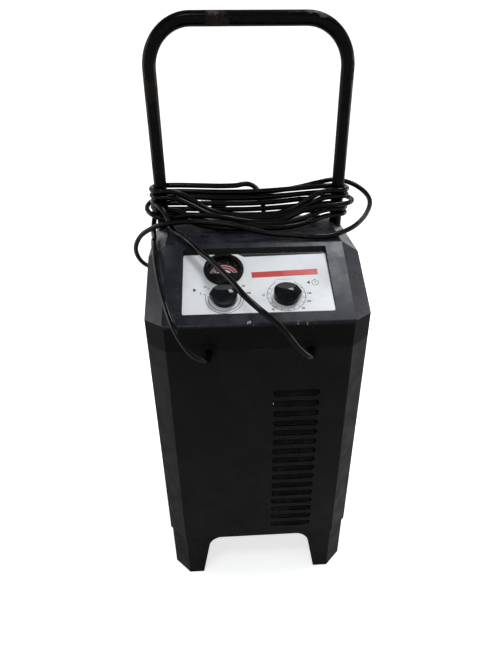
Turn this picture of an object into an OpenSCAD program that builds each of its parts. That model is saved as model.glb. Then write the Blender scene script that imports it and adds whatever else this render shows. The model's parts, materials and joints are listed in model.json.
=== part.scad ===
// Wheeled car battery charger: a moulded case on two wheels, with a sloping
// control head, a bent tube handle, two charging cables and a mains cord.
// Millimetres. The modules are written with y = 0 at the front face of the
// case; placed() moves them so that the origin is the centre of the footprint
// on the floor, with +X to the right, +Y to the back and +Z up.

/* [Case] */
// Width of the case
case_w = 305; // [290:1:330]
// Depth of the case, front face to rear panel
case_d = 250; // [244:1:270]
// Size of the 45 degree cut at each front corner
corner_cut = 27.5; // [15:0.5:34]
// Height of the seam between the base and the shell
base_h = 95; // [85:1:105]
// Height of the seam between the shell and the control head
seam_z = 474; // [460:1:500]
// Thickness of the moulded walls
wall = 3; // [2.4:0.1:3.6]
// How far the base is set back under the shell
base_inset = 2.5; // [1:0.1:2.8]
// Gap between pieces that fit one in the other
snug = 0.1; // [0.05:0.05:0.2]

/* [Feet] */
// Half width of the front arch at the floor
arch_floor_half = 99; // [92:0.5:104]
// Half width of the front arch at its top, before its corners are rounded
arch_top_half = 82; // [76:0.5:88]
// Radius of the arch's upper corners
arch_r = 24; // [12:1:30]
// Depth of each front foot
foot_d = 62; // [45:1:70]
// Height of the side walls above the floor between foot and wheel
side_lift = 30; // [20:1:40]

/* [Louvres] */
// Number of louvres
louvre_count = 16; // [12:1:17]
// Distance from one louvre to the next
louvre_pitch = 18.4; // [17:0.1:18.8]
// Length of a louvre slot
louvre_w = 67; // [50:1:74]
// Height of a louvre slot
louvre_h = 11.5; // [9:0.5:12]
// Distance of the slots' middle from the middle of the case
louvre_x = 52.5; // [45:0.5:60]
// Height of the lowest louvre above the base seam
louvre_rise = 28; // [24:1:40]
// Thickness of a louvre blade
blade_t = 2.2; // [1.8:0.1:2.6]

/* [Control head] */
// Height of the upright front lip of the head
lip_h = 38; // [34:1:42]
// Height of the flat top above the lip
crown_rise = 65; // [60:1:68]
// Distance from the front face back to the ridge
ridge_y = 123; // [120:1:128]
// Width of the bevel along each upper side edge
bevel_w = 25.5; // [18:0.5:28]
// How far that bevel falls
bevel_drop = 16.4; // [10:0.2:18]

/* [Control panel] */
// Width of the panel plate
label_w = 203; // [196:1:210]
// Length of the panel plate up the slope
label_l = 104.6; // [103:0.2:105]
// Thickness of the panel plate
label_t = 1; // [0.8:0.1:1.4]
// Slope of the panel plate
label_tilt = 25.4; // [24:0.2:26]
// Distance of its lower edge behind the front face
label_y = 17.6; // [16:0.2:20]
// Height of its lower edge above the top of the lip
label_rise = 8.2; // [7.6:0.1:9]
// Sideways place of the ammeter
meter_x = -45; // [-55:0.5:-40]
// Place of the ammeter up the slope
meter_v = 76; // [74:0.5:76]
// Diameter of the ammeter's bezel
meter_d = 56; // [50:0.5:56.5]
// Sideways place of the charge rate knob
rate_x = -45; // [-60:0.5:-40]
// Sideways place of the timer knob
timer_x = 38.5; // [34:0.5:60]
// Place of both knobs up the slope
knob_v = 27; // [24:0.5:27.5]
// Diameter of a knob
knob_d = 35; // [30:0.5:37]
// Distance from a knob's centre to the tip of its pointer
pointer_r = 20.3; // [19.5:0.1:21]
// Height of a knob
knob_h = 14; // [12:0.5:18]
// Diameter of the control shafts
shaft_d = 6; // [5:0.5:6.4]

/* [Handle] */
// Diameter of the handle tube
tube_d = 19; // [16:0.5:20]
// Wall of the handle tube
tube_wall = 1.6; // [1.2:0.1:2.5]
// Distance from the case's sides in to the centre of each handle leg
handle_inset = 14.5; // [14.5:0.5:18.5]
// Distance of the handle's axis from the back of the case
handle_back = 26; // [24:1:34]
// Height of the handle's top bar, centre of the tube
handle_z = 853; // [780:1:920]
// Radius of the handle's bends, centre of the tube
bend_r = 60; // [45:1:80]
// Height of the lower ends of the handle legs
leg_end_z = 300; // [250:1:320]

/* [Wheels] */
// Diameter of the wheels
wheel_d = 150; // [140:1:154]
// Width of the wheels
wheel_w = 36; // [28:1:40]
// Distance of the axle behind the front face
axle_y = 207; // [204:0.5:210]
// Diameter of the axle
axle_d = 12; // [10:0.5:14]
// Thickness of the tyre
tyre_t = 17; // [12:0.5:20]
// Gap between a wheel and its well
well_gap = 7; // [5:0.5:8]

/* [Transformer] */
// Width of the transformer core
core_w = 130; // [110:1:140]
// Height of the transformer core
core_h = 110; // [90:1:120]
// Depth of the stack of laminations
core_d = 70; // [55:1:76]
// Distance of the core's middle behind the front face
core_y = 110; // [100:1:118]

/* [Cables and clamps] */
// Diameter of a charging cable
cable_d = 8; // [6:0.5:8]
// Diameter of the mains cord
mains_d = 7.5; // [6:0.5:7.5]
// Distance of each charging cable's exit from the middle
exit_x = 68; // [60:1:80]
// Diameter of the front bushings
bushing_d = 22; // [18:0.5:26]
// Height of the mains outlet on the rear panel
mains_z = 430; // [415:1:440]
// Distance of the mains outlet to the left of the middle
mains_x = 60; // [50:1:70]
// Length of a clamp's jaws, rivet to tip
jaw_l = 62; // [50:1:75]
// Length of a clamp's handles, rivet to end
grip_l = 90; // [75:1:100]
// Width of a clamp
clamp_w = 20; // [18:0.5:24]
// Thickness of the clamp's sheet steel
clamp_t = 1.6; // [1.2:0.1:2]
// Thickness of the clamp's plastic grips
grip_t = 1.8; // [1.4:0.1:2.2]
// Angle between a clamp's handle and its jaws
grip_angle = 17; // [15:0.5:19]
// Distance between neighbouring turns of cable on the handle
turn_pitch = 9.4; // [9.4:0.1:9.6]
// Diameter of the spring wire
wire_d = 1.9; // [1.4:0.1:2]

/* [Hidden] */

$fn = 64;
e = 0.01;

// Colours of the pieces
BLACK = [0.12, 0.12, 0.13];
SOFT_BLACK = [0.16, 0.16, 0.17];
HEAD = [0.2, 0.2, 0.22];
WHITE = [0.88, 0.89, 0.9];
STEEL = [0.7, 0.7, 0.72];
COPPER = [0.72, 0.42, 0.22];

lip_z = seam_z + lip_h;
crown_z = lip_z + crown_rise;
slope = atan(crown_rise / ridge_y);
handle_span = case_w - 2 * handle_inset;
handle_y = case_d - handle_back;
axle_z = wheel_d / 2;
overall_d = axle_y + wheel_d / 2;
label_z = lip_z + label_rise;

// Wheel wells
wheel_out_x = case_w / 2 - base_inset - 3;
wheel_in_x = wheel_out_x - wheel_w;
well_in_x = wheel_in_x - 5;
well_r = wheel_d / 2 + well_gap;
well_floor = 20;
flange_w = 12;

module placed() {
    translate([0, -overall_d / 2, 0]) children();
}

module both_sides() {
    for (side = [0, 1]) mirror([side, 0, 0]) children();
}

// A 2D profile given as [y, z], extruded along x and centred on x = 0
module across(width) {
    rotate([90, 0, 90]) translate([0, 0, -width / 2]) linear_extrude(width) children();
}

// A cylinder along x from x0 to x1
module rod_x(r, x0, x1) {
    translate([x0, 0, 0]) rotate([0, 90, 0]) cylinder(h = x1 - x0, r = r);
}

// A cylinder along y from y0 to y1
module rod_y(r, y0, y1) {
    translate([0, y0, 0]) rotate([-90, 0, 0]) cylinder(h = y1 - y0, r = r);
}

// The frame of the sloping panel: x across, y up the slope, z out of it
module on_panel(x = 0, v = 0) {
    translate([0, label_y, label_z]) rotate([label_tilt, 0, 0]) translate([x, v, 0]) children();
}

// Points of the arc that rounds the corner at b with radius r
function fillet(a, b, c, r, n = 5) =
    let (u = (a - b) / norm(a - b),
         w = (c - b) / norm(c - b),
         half = acos(u * w) / 2,
         mid = b + (u + w) / norm(u + w) * r / sin(half),
         p0 = b + u * r / tan(half) - mid,
         p1 = b + w * r / tan(half) - mid,
         a0 = atan2(p0[1], p0[0]),
         turn = atan2(p0[0] * p1[1] - p0[1] * p1[0], p0 * p1))
    [for (i = [0:n]) mid + r * [cos(a0 + turn * i / n), sin(a0 + turn * i / n)]];

// Plan of the case, inset from its outer faces, cut off at back_y
function plan_points(inset, back_y) =
    let (shift = inset * (sqrt(2) - 1),
         half = case_w / 2 - inset,
         front_half = case_w / 2 - corner_cut - shift)
    [[-half, back_y], [-half, corner_cut + shift], [-front_half, inset],
     [front_half, inset], [half, corner_cut + shift], [half, back_y]];

// ---- Case ----

// The front arch, widened by grow
module arch_tunnel(grow) {
    top_z = base_h - wall + e;
    floor_half = arch_floor_half + (arch_floor_half - arch_top_half) * 8 / top_z;
    half = [for (p = concat([[floor_half, -8]],
                            fillet([floor_half, -8], [arch_top_half, top_z], [0, top_z], arch_r, 8)))
            [p[0] + grow, p[1]]];
    last = len(half) - 1;
    points = concat(half, [for (i = [last:-1:0]) [-half[i][0], half[i][1]]]);
    translate([0, foot_d + 2, 0]) rotate([90, 0, 0]) linear_extrude(foot_d + 4) polygon(points);
}

// The wheel well: round over the axle, straight below it, open to the back
module well_form(r, x0, x1, floor_z) {
    translate([0, axle_y, axle_z]) rod_x(r, x0, x1);
    translate([x0, axle_y - r, floor_z]) cube([x1 - x0, r + case_d - axle_y + 50, axle_z - floor_z]);
}

module base_walls() {
    difference() {
        linear_extrude(base_h) polygon(plan_points(base_inset, case_d));
        translate([0, 0, -1])
            linear_extrude(base_h - wall + 1) polygon(plan_points(base_inset + wall, case_d - wall));
    }
}

module feet() {
    difference() {
        linear_extrude(base_h - wall) polygon(plan_points(base_inset, foot_d));
        difference() {
            translate([0, 0, wall + 1])
                linear_extrude(base_h) polygon(plan_points(base_inset + wall, foot_d + 1));
            arch_tunnel(wall);
        }
    }
}

module side_opening() {
    y0 = foot_d + 10;
    y1 = axle_y - well_r + 25;
    across(case_w + 10)
        polygon([[y0, -1], [y0 + side_lift / 2, side_lift], [y1, side_lift], [y1, -1]]);
}

module wheelhouses() {
    both_sides() intersection() {
        well_form(well_r + wall, well_in_x - wall, case_w / 2 - base_inset, well_floor);
        cube([case_w, case_d, seam_z]);
    }
}

module axle_bosses() {
    both_sides() translate([0, axle_y, axle_z]) rod_x(axle_d, well_in_x - 12, well_in_x);
}

// Places of the screws that hold the base to the shell
function base_screw_spots() =
    let (x = case_w / 2 - wall - flange_w / 2 - 1.5, y = wall + flange_w / 2)
    [[-x, 70], [-x, 105], [x, 70], [x, 105], [-40, y], [40, y]];

module base_moulding() {
    placed() color(BLACK) difference() {
        union() {
            difference() {
                union() {
                    base_walls();
                    feet();
                    wheelhouses();
                }
                arch_tunnel(0);
                side_opening();
                both_sides() well_form(well_r, well_in_x, case_w / 2 + 1, -1);
                translate([-well_in_x, case_d - 2 * wall, -1])
                    cube([2 * well_in_x, 3 * wall, side_lift + 1]);
            }
            axle_bosses();
        }
        translate([0, axle_y, axle_z]) rod_x(axle_d / 2 + snug, -case_w, case_w);
        for (spot = base_screw_spots())
            translate([spot[0], spot[1], base_h - wall - 1]) cylinder(h = wall + 2, r = 2.2);
        for (spot = foot_bolt_spots())
            translate([spot[0], spot[1], base_h - wall - 1]) cylinder(h = wall + 2, r = 3.2);
    }
}

module louvre_slots() {
    reach = louvre_w / 2 - louvre_h / 2;
    for (i = [0:louvre_count - 1])
        translate([louvre_x, wall + 1, base_h + louvre_rise + i * louvre_pitch]) rotate([90, 0, 0])
            linear_extrude(wall + 2) {
                square([2 * reach, louvre_h], center = true);
                for (x = [-reach, reach]) translate([x, 0]) circle(d = louvre_h);
            }
}

// Inner blades: each rises from under its slot to hide what is behind it
module louvre_blades() {
    depth = 9;
    root = wall - 0.5;
    low = -louvre_h / 2 - 0.6;
    high = louvre_h / 2 + 0.4;
    for (i = [0:louvre_count - 1])
        translate([louvre_x, 0, base_h + louvre_rise + i * louvre_pitch])
            across(louvre_w - 3)
                polygon([[root, low], [root, low - blade_t], [wall + depth, high - blade_t],
                         [wall + depth, high]]);
}

module shell_flanges() {
    // Ledge that rests on the base
    translate([0, 0, base_h]) linear_extrude(wall) difference() {
        polygon(plan_points(wall / 2, axle_y - well_r - wall - 2));
        polygon(plan_points(wall + flange_w, case_d));
    }
    // Upright strips that carry the rear panel
    bottom = axle_z + well_r + wall + 6;
    both_sides() translate([case_w / 2 - wall - flange_w, case_d - 2 * wall, bottom])
        cube([flange_w + wall / 2, wall, seam_z - 4 - bottom]);
    // Tongue that locates the head
    translate([0, 0, seam_z - 10]) linear_extrude(10) difference() {
        polygon(plan_points(wall / 2, case_d - 20));
        polygon(plan_points(wall + 2, case_d));
    }
    translate([0, 0, seam_z - 1]) linear_extrude(7) difference() {
        polygon(plan_points(wall + snug, case_d - 20));
        polygon(plan_points(wall + 2, case_d));
    }
}

// Heights of the screws down each side of the rear panel
function panel_screw_heights() = [for (i = [0:2]) base_h + 105 + i * 90];
panel_screw_x = case_w / 2 - wall - flange_w / 2;

// Openings for the cable bushings, half in the shell and half in the head
module bushing_holes() {
    for (x = [-exit_x, exit_x])
        translate([x, 0, seam_z]) rod_y(bushing_d / 2 - 2 + snug, -1, wall + 4);
}

module front_shell() {
    placed() color(BLACK) difference() {
        union() {
            difference() {
                translate([0, 0, base_h]) linear_extrude(seam_z - base_h) difference() {
                    polygon(plan_points(0, case_d));
                    polygon(plan_points(wall, case_d + 1));
                }
                louvre_slots();
            }
            shell_flanges();
            louvre_blades();
        }
        translate([0, axle_y, axle_z]) rod_x(well_r + wall + 0.4, -case_w, case_w);
        bushing_holes();
        for (spot = base_screw_spots())
            translate([spot[0], spot[1], base_h - 1]) cylinder(h = wall + 2, r = 2 + snug);
        // Gaps in the upright strips for the handle brackets
        both_sides() for (z = bracket_heights())
            translate([handle_span / 2 - 10, case_d - 3 * wall, z - 12]) cube([20.5, 3 * wall, 24]);
        both_sides() for (z = panel_screw_heights())
            translate([panel_screw_x, 0, z]) rod_y(2 + snug, case_d - 3 * wall, case_d);
    }
}

// Side view of the head as [y, z], inset from its outer faces
function head_profile(inset, bottom_z) =
    let (drop = inset / cos(slope),
         top_z = crown_z - inset,
         a = [inset, bottom_z],
         b = [inset, lip_z + inset * tan(slope) - drop],
         c = [(top_z - lip_z + drop) / tan(slope), top_z],
         d = [case_d - inset, top_z],
         f = [case_d - inset, bottom_z])
    concat([a], fillet(a, b, c, 6), fillet(b, c, d, 10), fillet(c, d, f, 5), [f]);

// Everything outside the bevel of one upper edge, as [x, z] from the edge
module bevel_cut(inset, fall) {
    m = fall / bevel_w;
    k = inset * sqrt(1 + m * m);
    x = case_w / 2 - bevel_w;
    polygon([[x - 40, 40 * m - k], [x + 100, -100 * m - k], [x + 100, 200], [x - 40, 200]]);
}

module head_form(inset, bottom_z) {
    difference() {
        intersection() {
            translate([0, 0, bottom_z]) linear_extrude(200) polygon(plan_points(inset, case_d - inset));
            across(2 * case_w) polygon(head_profile(inset, bottom_z));
        }
        both_sides() {
            translate([0, 0, lip_z]) rotate([slope, 0, 0]) translate([0, 1.2 * case_d, 0])
                rotate([90, 0, 0]) linear_extrude(1.6 * case_d) bevel_cut(inset, bevel_drop * cos(slope));
            translate([0, 1.2 * case_d, crown_z]) rotate([90, 0, 0])
                linear_extrude(1.6 * case_d) bevel_cut(inset, bevel_drop);
        }
    }
}

// The recess that the panel plate lies in, grown by grow for its walls
module panel_recess(grow) {
    margin = 0.5 + grow;
    floor_n = -label_t - grow;
    on_panel() across(label_w + 2 * margin)
        polygon([[-margin, floor_n], [label_l + margin, floor_n], [label_l + margin + 9, floor_n + 10],
                 [label_l + margin + 9, 60], [-margin, 60]]);
}

module panel_holes(extra) {
    on_panel(meter_x, meter_v) translate([0, 0, -15]) cylinder(h = 30, r = meter_body_r + extra);
    for (x = [rate_x, timer_x])
        on_panel(x, knob_v) translate([0, 0, -15]) cylinder(h = 30, r = neck_r + extra);
}

head_screw_z = seam_z + 16;
head_screw_x = [-100, -35, 35, 100];

module head_cover() {
    placed() color(HEAD) difference() {
        union() {
            difference() {
                head_form(0, seam_z);
                head_form(wall, seam_z - 1);
            }
            intersection() {
                head_form(0, seam_z);
                panel_recess(wall);
            }
        }
        panel_recess(0);
        panel_holes(snug);
        bushing_holes();
        both_sides() translate([handle_span / 2, handle_y, seam_z])
            cylinder(h = 200, r = tube_d / 2 + snug);
        for (x = head_screw_x) translate([x, 0, head_screw_z])
            rod_y(2 + snug, case_d - 2 * wall, case_d + 1);
    }
}

// ---- Rear panel ----

module vent_slots() {
    for (row = [0, 1]) for (i = [-5:5])
        translate([i * 15, case_d - 2 * wall, 180 + row * 75]) rotate([-90, 0, 0])
            linear_extrude(3 * wall) {
                square([5, 40], center = true);
                for (z = [-20, 20]) translate([0, z]) circle(d = 5);
            }
}

module rear_panel() {
    half = case_w / 2 - wall - 0.3;
    tab_w = 230;
    tab_h = 50;
    placed() color(SOFT_BLACK) difference() {
        union() {
            translate([-half, case_d - wall, base_h]) cube([2 * half, wall, seam_z - base_h - 0.3]);
            translate([-tab_w / 2, case_d - 2 * wall, seam_z - tab_h / 2 + 1]) cube([tab_w, wall, tab_h]);
        }
        translate([0, axle_y, axle_z]) both_sides()
            rod_x(well_r + wall + 0.4, well_in_x - wall - 0.4, case_w);
        vent_slots();
        both_sides() for (z = panel_screw_heights())
            translate([panel_screw_x, 0, z]) rod_y(2 + snug, case_d - 3 * wall, case_d + 1);
        for (x = head_screw_x) translate([x, 0, head_screw_z])
            rod_y(2 + snug, case_d - 3 * wall, case_d + 1);
        both_sides() for (z = bracket_heights())
            translate([handle_span / 2, 0, z]) rod_y(3 + snug, case_d - 3 * wall, case_d + 1);
        translate([-mains_x, 0, mains_z]) rod_y(relief_neck_r + snug, case_d - 3 * wall, case_d + 1);
        for (spot = sink_bolt_spots())
            translate([spot[0], 0, spot[1]]) rod_y(2 + snug, case_d - 3 * wall, case_d + 1);
    }
}

// ---- Control panel ----

meter_body_r = meter_d / 2 - 4;
neck_r = 5;
bezel_h = 4.5;
meter_depth = 30;
dial_n = -5;
window_r = meter_d / 2 - 5;
needle_drop = 12;

module panel_label() {
    placed() color(WHITE) difference() {
        on_panel() translate([0, 0, -label_t]) linear_extrude(label_t) rounded_rect(label_w, label_l, 3);
        panel_holes(snug);
    }
}

// A rectangle with round corners, centred in x and standing on y = 0
module rounded_rect(w, h, r) {
    translate([-w / 2, r]) square([w, h - 2 * r]);
    translate([-w / 2 + r, 0]) square([w - 2 * r, h]);
    for (x = [-w / 2 + r, w / 2 - r]) for (y = [r, h - r]) translate([x, y]) circle(r = r);
}

// Turned case of the ammeter, with its bezel and a mask over the movement
module meter_case() {
    bezel_r = meter_d / 2;
    placed() color(BLACK) on_panel(meter_x, meter_v) {
        rotate_extrude() polygon([
            [0, -meter_depth], [meter_body_r - 1, -meter_depth], [meter_body_r, -meter_depth + 1],
            [meter_body_r, 0], [bezel_r, 0], [bezel_r, bezel_h - 2.2], [bezel_r - 0.7, bezel_h - 0.7],
            [bezel_r - 2.2, bezel_h], [window_r + 0.6, bezel_h], [window_r, bezel_h - 1],
            [window_r, dial_n - 1.2], [0, dial_n - 1.2]]);
        intersection() {
            translate([0, 0, -0.8]) cylinder(h = bezel_h - 2.2, r = window_r + 0.2);
            translate([-window_r, -2 * window_r - 7, -1]) cube([2 * window_r, 2 * window_r, 10]);
        }
    }
}

module meter_dial() {
    placed() color(SOFT_BLACK) on_panel(meter_x, meter_v) translate([0, 0, dial_n - 1.2])
        cylinder(h = 1.2, r = window_r - snug);
}

module meter_lens() {
    placed() color([0.8, 0.85, 0.9, 0.35]) on_panel(meter_x, meter_v)
        translate([0, 0, bezel_h - 2.6]) cylinder(h = 1.5, r = window_r - snug);
}

// Needle on its spindle, at rest at the low end of the scale
module meter_needle() {
    placed() color([0.9, 0.9, 0.88]) on_panel(meter_x, meter_v - needle_drop) rotate([0, 0, 48]) {
        translate([0, 0, dial_n + 0.05]) cylinder(h = 2.4, r = 2.2);
        translate([-0.5, -5, dial_n + 1.2]) cube([1, 27, 0.7]);
    }
}

// Outline of a knob: a disc drawn out to a pointer along -x by its two tangents
module knob_outline() {
    r = knob_d / 2;
    touch = 180 - acos(r / pointer_r);
    n = 40;
    polygon(concat([[-pointer_r, 0]],
        [for (i = [0:n]) let (a = -touch + 2 * touch * i / n) [r * cos(a), r * sin(a)]]));
}

// Cross-section of a knob: a skirt and two slightly hollow flanks that meet in a crest
module knob_section() {
    skirt = 6.4;
    half = knob_d / 2 + 1;
    crest = 0.9;
    flank = [for (i = [0:8]) let (t = i / 8)
        [crest + (half - crest) * t, skirt + (knob_h - skirt) * pow(1 - t, 1.15)]];
    polygon(concat([[half, 0]], [for (i = [8:-1:0]) flank[i]],
        [for (i = [0:8]) [-flank[i][0], flank[i][1]]], [[-half, 0]]));
}

nut_r = 8;
nut_h = 2.5;

module pointer_knob() {
    dome_r = 38;
    difference() {
        intersection() {
            linear_extrude(knob_h + 1) knob_outline();
            across(3 * pointer_r) knob_section();
            translate([0, 0, knob_h - dome_r]) sphere(r = dome_r);
        }
        translate([0, 0, -1]) cylinder(h = nut_h + 2.5, r = nut_r + 1.5);
        translate([0, 0, -1]) cylinder(h = knob_h - 2, r = shaft_d / 2 + snug / 2);
    }
}

knob_lift = 0.8;

module rate_knob() {
    placed() color(SOFT_BLACK) on_panel(rate_x, knob_v) translate([0, 0, knob_lift]) pointer_knob();
}

module timer_knob() {
    placed() color(SOFT_BLACK) on_panel(timer_x, knob_v) translate([0, 0, knob_lift])
        rotate([0, 0, 180]) pointer_knob();
}

module control_shaft(x) {
    on_panel(x, knob_v) translate([0, 0, -18]) cylinder(h = 18 + knob_lift + knob_h - 3.2, r = shaft_d / 2);
}

module rate_shaft() {
    placed() color(STEEL) control_shaft(rate_x);
}

module timer_shaft() {
    placed() color(STEEL) control_shaft(timer_x);
}

// A control's threaded neck and the top plate behind the panel
module control_neck(x, r, depth) {
    back = label_t + wall;
    on_panel(x, knob_v) difference() {
        union() {
            translate([0, 0, -back - e]) cylinder(h = back + nut_h + 0.6, r = neck_r);
            translate([0, 0, -back - depth]) cylinder(h = depth, r = r);
        }
        translate([0, 0, -19]) cylinder(h = 40, r = shaft_d / 2 + 0.05);
    }
}

module rate_switch() {
    placed() color([0.35, 0.3, 0.25]) {
        control_neck(rate_x, 19, 22);
        on_panel(rate_x, knob_v) for (i = [0:5]) rotate([0, 0, i * 60])
            translate([13, -3, -label_t - wall - 30]) cube([0.8, 6, 9]);
    }
}

module timer_body() {
    placed() color(STEEL) {
        control_neck(timer_x, 22, 28);
        on_panel(timer_x, knob_v) translate([-8, -30, -label_t - wall - 28]) cube([16, 60, 1.5]);
    }
}

module control_nuts() {
    placed() color(STEEL) for (x = [rate_x, timer_x]) on_panel(x, knob_v) difference() {
        cylinder(h = nut_h, r = nut_r, $fn = 6);
        translate([0, 0, -1]) cylinder(h = nut_h + 2, r = neck_r + snug / 2);
    }
}

// ---- Handle ----

module handle_path(r) {
    half = handle_span / 2;
    both_sides() {
        translate([half, 0, leg_end_z]) cylinder(h = handle_z - bend_r - leg_end_z, r = r);
        translate([half - bend_r, 0, handle_z - bend_r]) rotate([90, 0, 0])
            rotate_extrude(angle = 90) translate([bend_r, 0]) circle(r = r);
    }
    translate([0, 0, handle_z]) rod_x(r, -half + bend_r, half - bend_r);
}

module handle_tube() {
    placed() color(BLACK) translate([0, handle_y, 0]) difference() {
        handle_path(tube_d / 2);
        handle_path(tube_d / 2 - tube_wall);
        both_sides() translate([handle_span / 2, 0, leg_end_z - 1])
            cylinder(h = 2, r = tube_d / 2 - tube_wall);
        both_sides() for (z = bracket_heights())
            translate([handle_span / 2, 0, z]) rod_y(3 + snug, -tube_d, tube_d);
    }
}

function bracket_heights() = [leg_end_z + 30, seam_z - 44];

// Pillow blocks that hold the handle legs off the rear panel
module handle_brackets() {
    back = case_d - wall - handle_y;
    placed() color(STEEL) both_sides() for (z = bracket_heights())
        translate([handle_span / 2, handle_y, z]) difference() {
            translate([0, 0, -11]) linear_extrude(22) difference() {
                union() {
                    circle(r = tube_d / 2 + 1.8);
                    translate([-9, 0]) square([18, back]);
                    translate([-28, back - 5]) square([38, 5]);
                }
                circle(r = tube_d / 2 + snug);
            }
            rod_y(3 + snug, 0, back + 1);
            rod_y(3 + snug, -tube_d, 0);
        }
}

module hex_head(r, h) {
    cylinder(h = h, r = r, $fn = 6);
}

module handle_bolts() {
    placed() color(STEEL) both_sides() for (z = bracket_heights()) translate([handle_span / 2, 0, z]) {
        rod_y(3, handle_y - tube_d / 2 - 6, case_d + e);
        translate([0, case_d, 0]) rotate([-90, 0, 0]) hex_head(5.5, 4);
        translate([0, handle_y - tube_d / 2 - 5.8, 0]) rotate([-90, 0, 0]) hex_head(5.5, 4);
    }
}

// ---- Wheels ----

module axle() {
    placed() color(STEEL) translate([0, axle_y, axle_z])
        rod_x(axle_d / 2, -wheel_out_x - 3, wheel_out_x + 3);
}

module axle_caps() {
    placed() color(STEEL) translate([0, axle_y, axle_z]) both_sides() difference() {
        union() {
            rod_x(axle_d / 2 + 4, wheel_out_x + 0.3, wheel_out_x + 2.6);
            rod_x(axle_d / 2 + 2, wheel_out_x + 0.3, wheel_out_x + 4.4);
        }
        rod_x(axle_d / 2 + snug / 2, wheel_out_x - 1, wheel_out_x + 3 + snug);
    }
}

rim_r = wheel_d / 2 - tyre_t;

// A rim turned about x = 0 axis: hub, web with openings, and a channel for the tyre
module rim() {
    half = wheel_w / 2;
    hub_r = axle_d / 2 + 8;
    difference() {
        rotate([0, 90, 0]) rotate_extrude() polygon([
            [axle_d / 2 + 0.06, -half], [hub_r, -half], [hub_r, -3], [rim_r - 6, -3], [rim_r - 4, -half + 2],
            [rim_r, -half + 2], [rim_r, -half + 5], [rim_r - 2, -half + 7], [rim_r - 2, half - 7],
            [rim_r, half - 5], [rim_r, half - 2], [rim_r - 4, half - 2], [rim_r - 6, 3], [hub_r, 3],
            [hub_r, half], [axle_d / 2 + 0.06, half]]);
        for (i = [0:5]) rotate([i * 60, 0, 0])
            translate([0, 0, (hub_r + rim_r - 5) / 2]) rod_x(8.5, -10, 10);
    }
}

// A tyre with a rounded tread and three grooves
module tyre() {
    half = wheel_w / 2;
    r = wheel_d / 2;
    groove = 1.6;
    rotate([0, 90, 0]) rotate_extrude() polygon(concat(
        [[rim_r - 2 + snug, -half + 7], [rim_r + snug, -half + 5], [rim_r + snug, -half + 1.5],
         [rim_r + 3, -half]],
        fillet([rim_r + 3, -half], [r - 1.2, -half], [r - 0.2, -half + 11], 4),
        [for (x = [-8, 0, 8]) for (p = [[0, -1.6], [-groove, -1], [-groove, 1], [0, 1.6]])
            [r + p[0], x + p[1]]],
        fillet([r - 0.2, half - 11], [r - 1.2, half], [rim_r + 3, half], 4),
        [[rim_r + 3, half], [rim_r + snug, half - 1.5], [rim_r + snug, half - 5],
         [rim_r - 2 + snug, half - 7]]));
}

module wheel_at(side) {
    translate([side * (wheel_in_x + wheel_w / 2), axle_y, axle_z]) children();
}

module left_rim() {
    placed() color([0.55, 0.56, 0.58]) wheel_at(-1) rim();
}

module left_tyre() {
    placed() color(BLACK) wheel_at(-1) tyre();
}

module right_rim() {
    placed() color([0.55, 0.56, 0.58]) wheel_at(1) rim();
}

module right_tyre() {
    placed() color(BLACK) wheel_at(1) tyre();
}

// ---- Inside ----

leg_w = core_w / 3.4;
window_w = (core_w - 2 * leg_w) / 2 - leg_w / 4;
window_h = core_h - leg_w;
foot_h = 4;
core_z = base_h + foot_h;

module core_windows(gap) {
    for (side = [-1, 1])
        translate([side * (leg_w + window_w) / 2, 0, core_h / 2])
            cube([window_w - 2 * gap, 3 * core_d, window_h - 2 * gap], center = true);
}

module transformer_core() {
    placed() color([0.45, 0.45, 0.47]) translate([0, core_y, core_z]) difference() {
        translate([-core_w / 2, -core_d / 2, 0]) cube([core_w, core_d, core_h]);
        core_windows(0);
        for (spot = core_bolt_spots()) translate([spot[0], 0, spot[1]]) rod_y(2.5 + snug, -core_d, core_d);
    }
}

// Bolts through the corners of the laminations, as [x, z]
function core_bolt_spots() =
    let (x = core_w / 2 - 8)
    [[-x, 8], [x, 8], [-x, core_h - 8], [x, core_h - 8]];

// One coil round the middle leg, bulging out at the front and back
module transformer_windings() {
    gap = 0.5;
    bulge = 18;
    placed() color(COPPER) translate([0, core_y, core_z + core_h / 2 - window_h / 2 + gap])
        linear_extrude(window_h - 2 * gap) difference() {
            round_block(leg_w + 2 * (window_w - gap), core_d + 2 * bulge, 12);
            square([leg_w + 2 * gap, core_d + 2 * gap], center = true);
        }
}

// A rectangle with round corners, centred
module round_block(w, d, r) {
    square([w - 2 * r, d], center = true);
    square([w, d - 2 * r], center = true);
    for (x = [-w / 2 + r, w / 2 - r]) for (y = [-d / 2 + r, d / 2 - r]) translate([x, y]) circle(r = r);
}

foot_reach = 16;

// Bolts that hold the transformer to the base, as [x, y]
function foot_bolt_spots() =
    let (x = core_w / 2 - 20, y = core_d / 2 + foot_reach / 2 + 2)
    [[-x, core_y - y], [x, core_y - y], [-x, core_y + y], [x, core_y + y]];

// Angle strips along the front and back of the core
module transformer_feet() {
    placed() color(STEEL) difference() {
        for (side = [0, 1]) translate([0, core_y, 0]) mirror([0, side, 0]) {
            translate([-core_w / 2, core_d / 2, base_h]) cube([core_w, foot_reach, foot_h]);
            translate([-core_w / 2, core_d / 2, base_h]) cube([core_w, 2.5, 18]);
        }
        for (spot = foot_bolt_spots())
            translate([spot[0], spot[1], base_h - 1]) cylinder(h = foot_h + 2, r = 3 + snug);
        for (spot = core_bolt_spots())
            translate([spot[0], 0, core_z + spot[1]]) rod_y(2.5 + snug, 0, case_d);
    }
}

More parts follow.
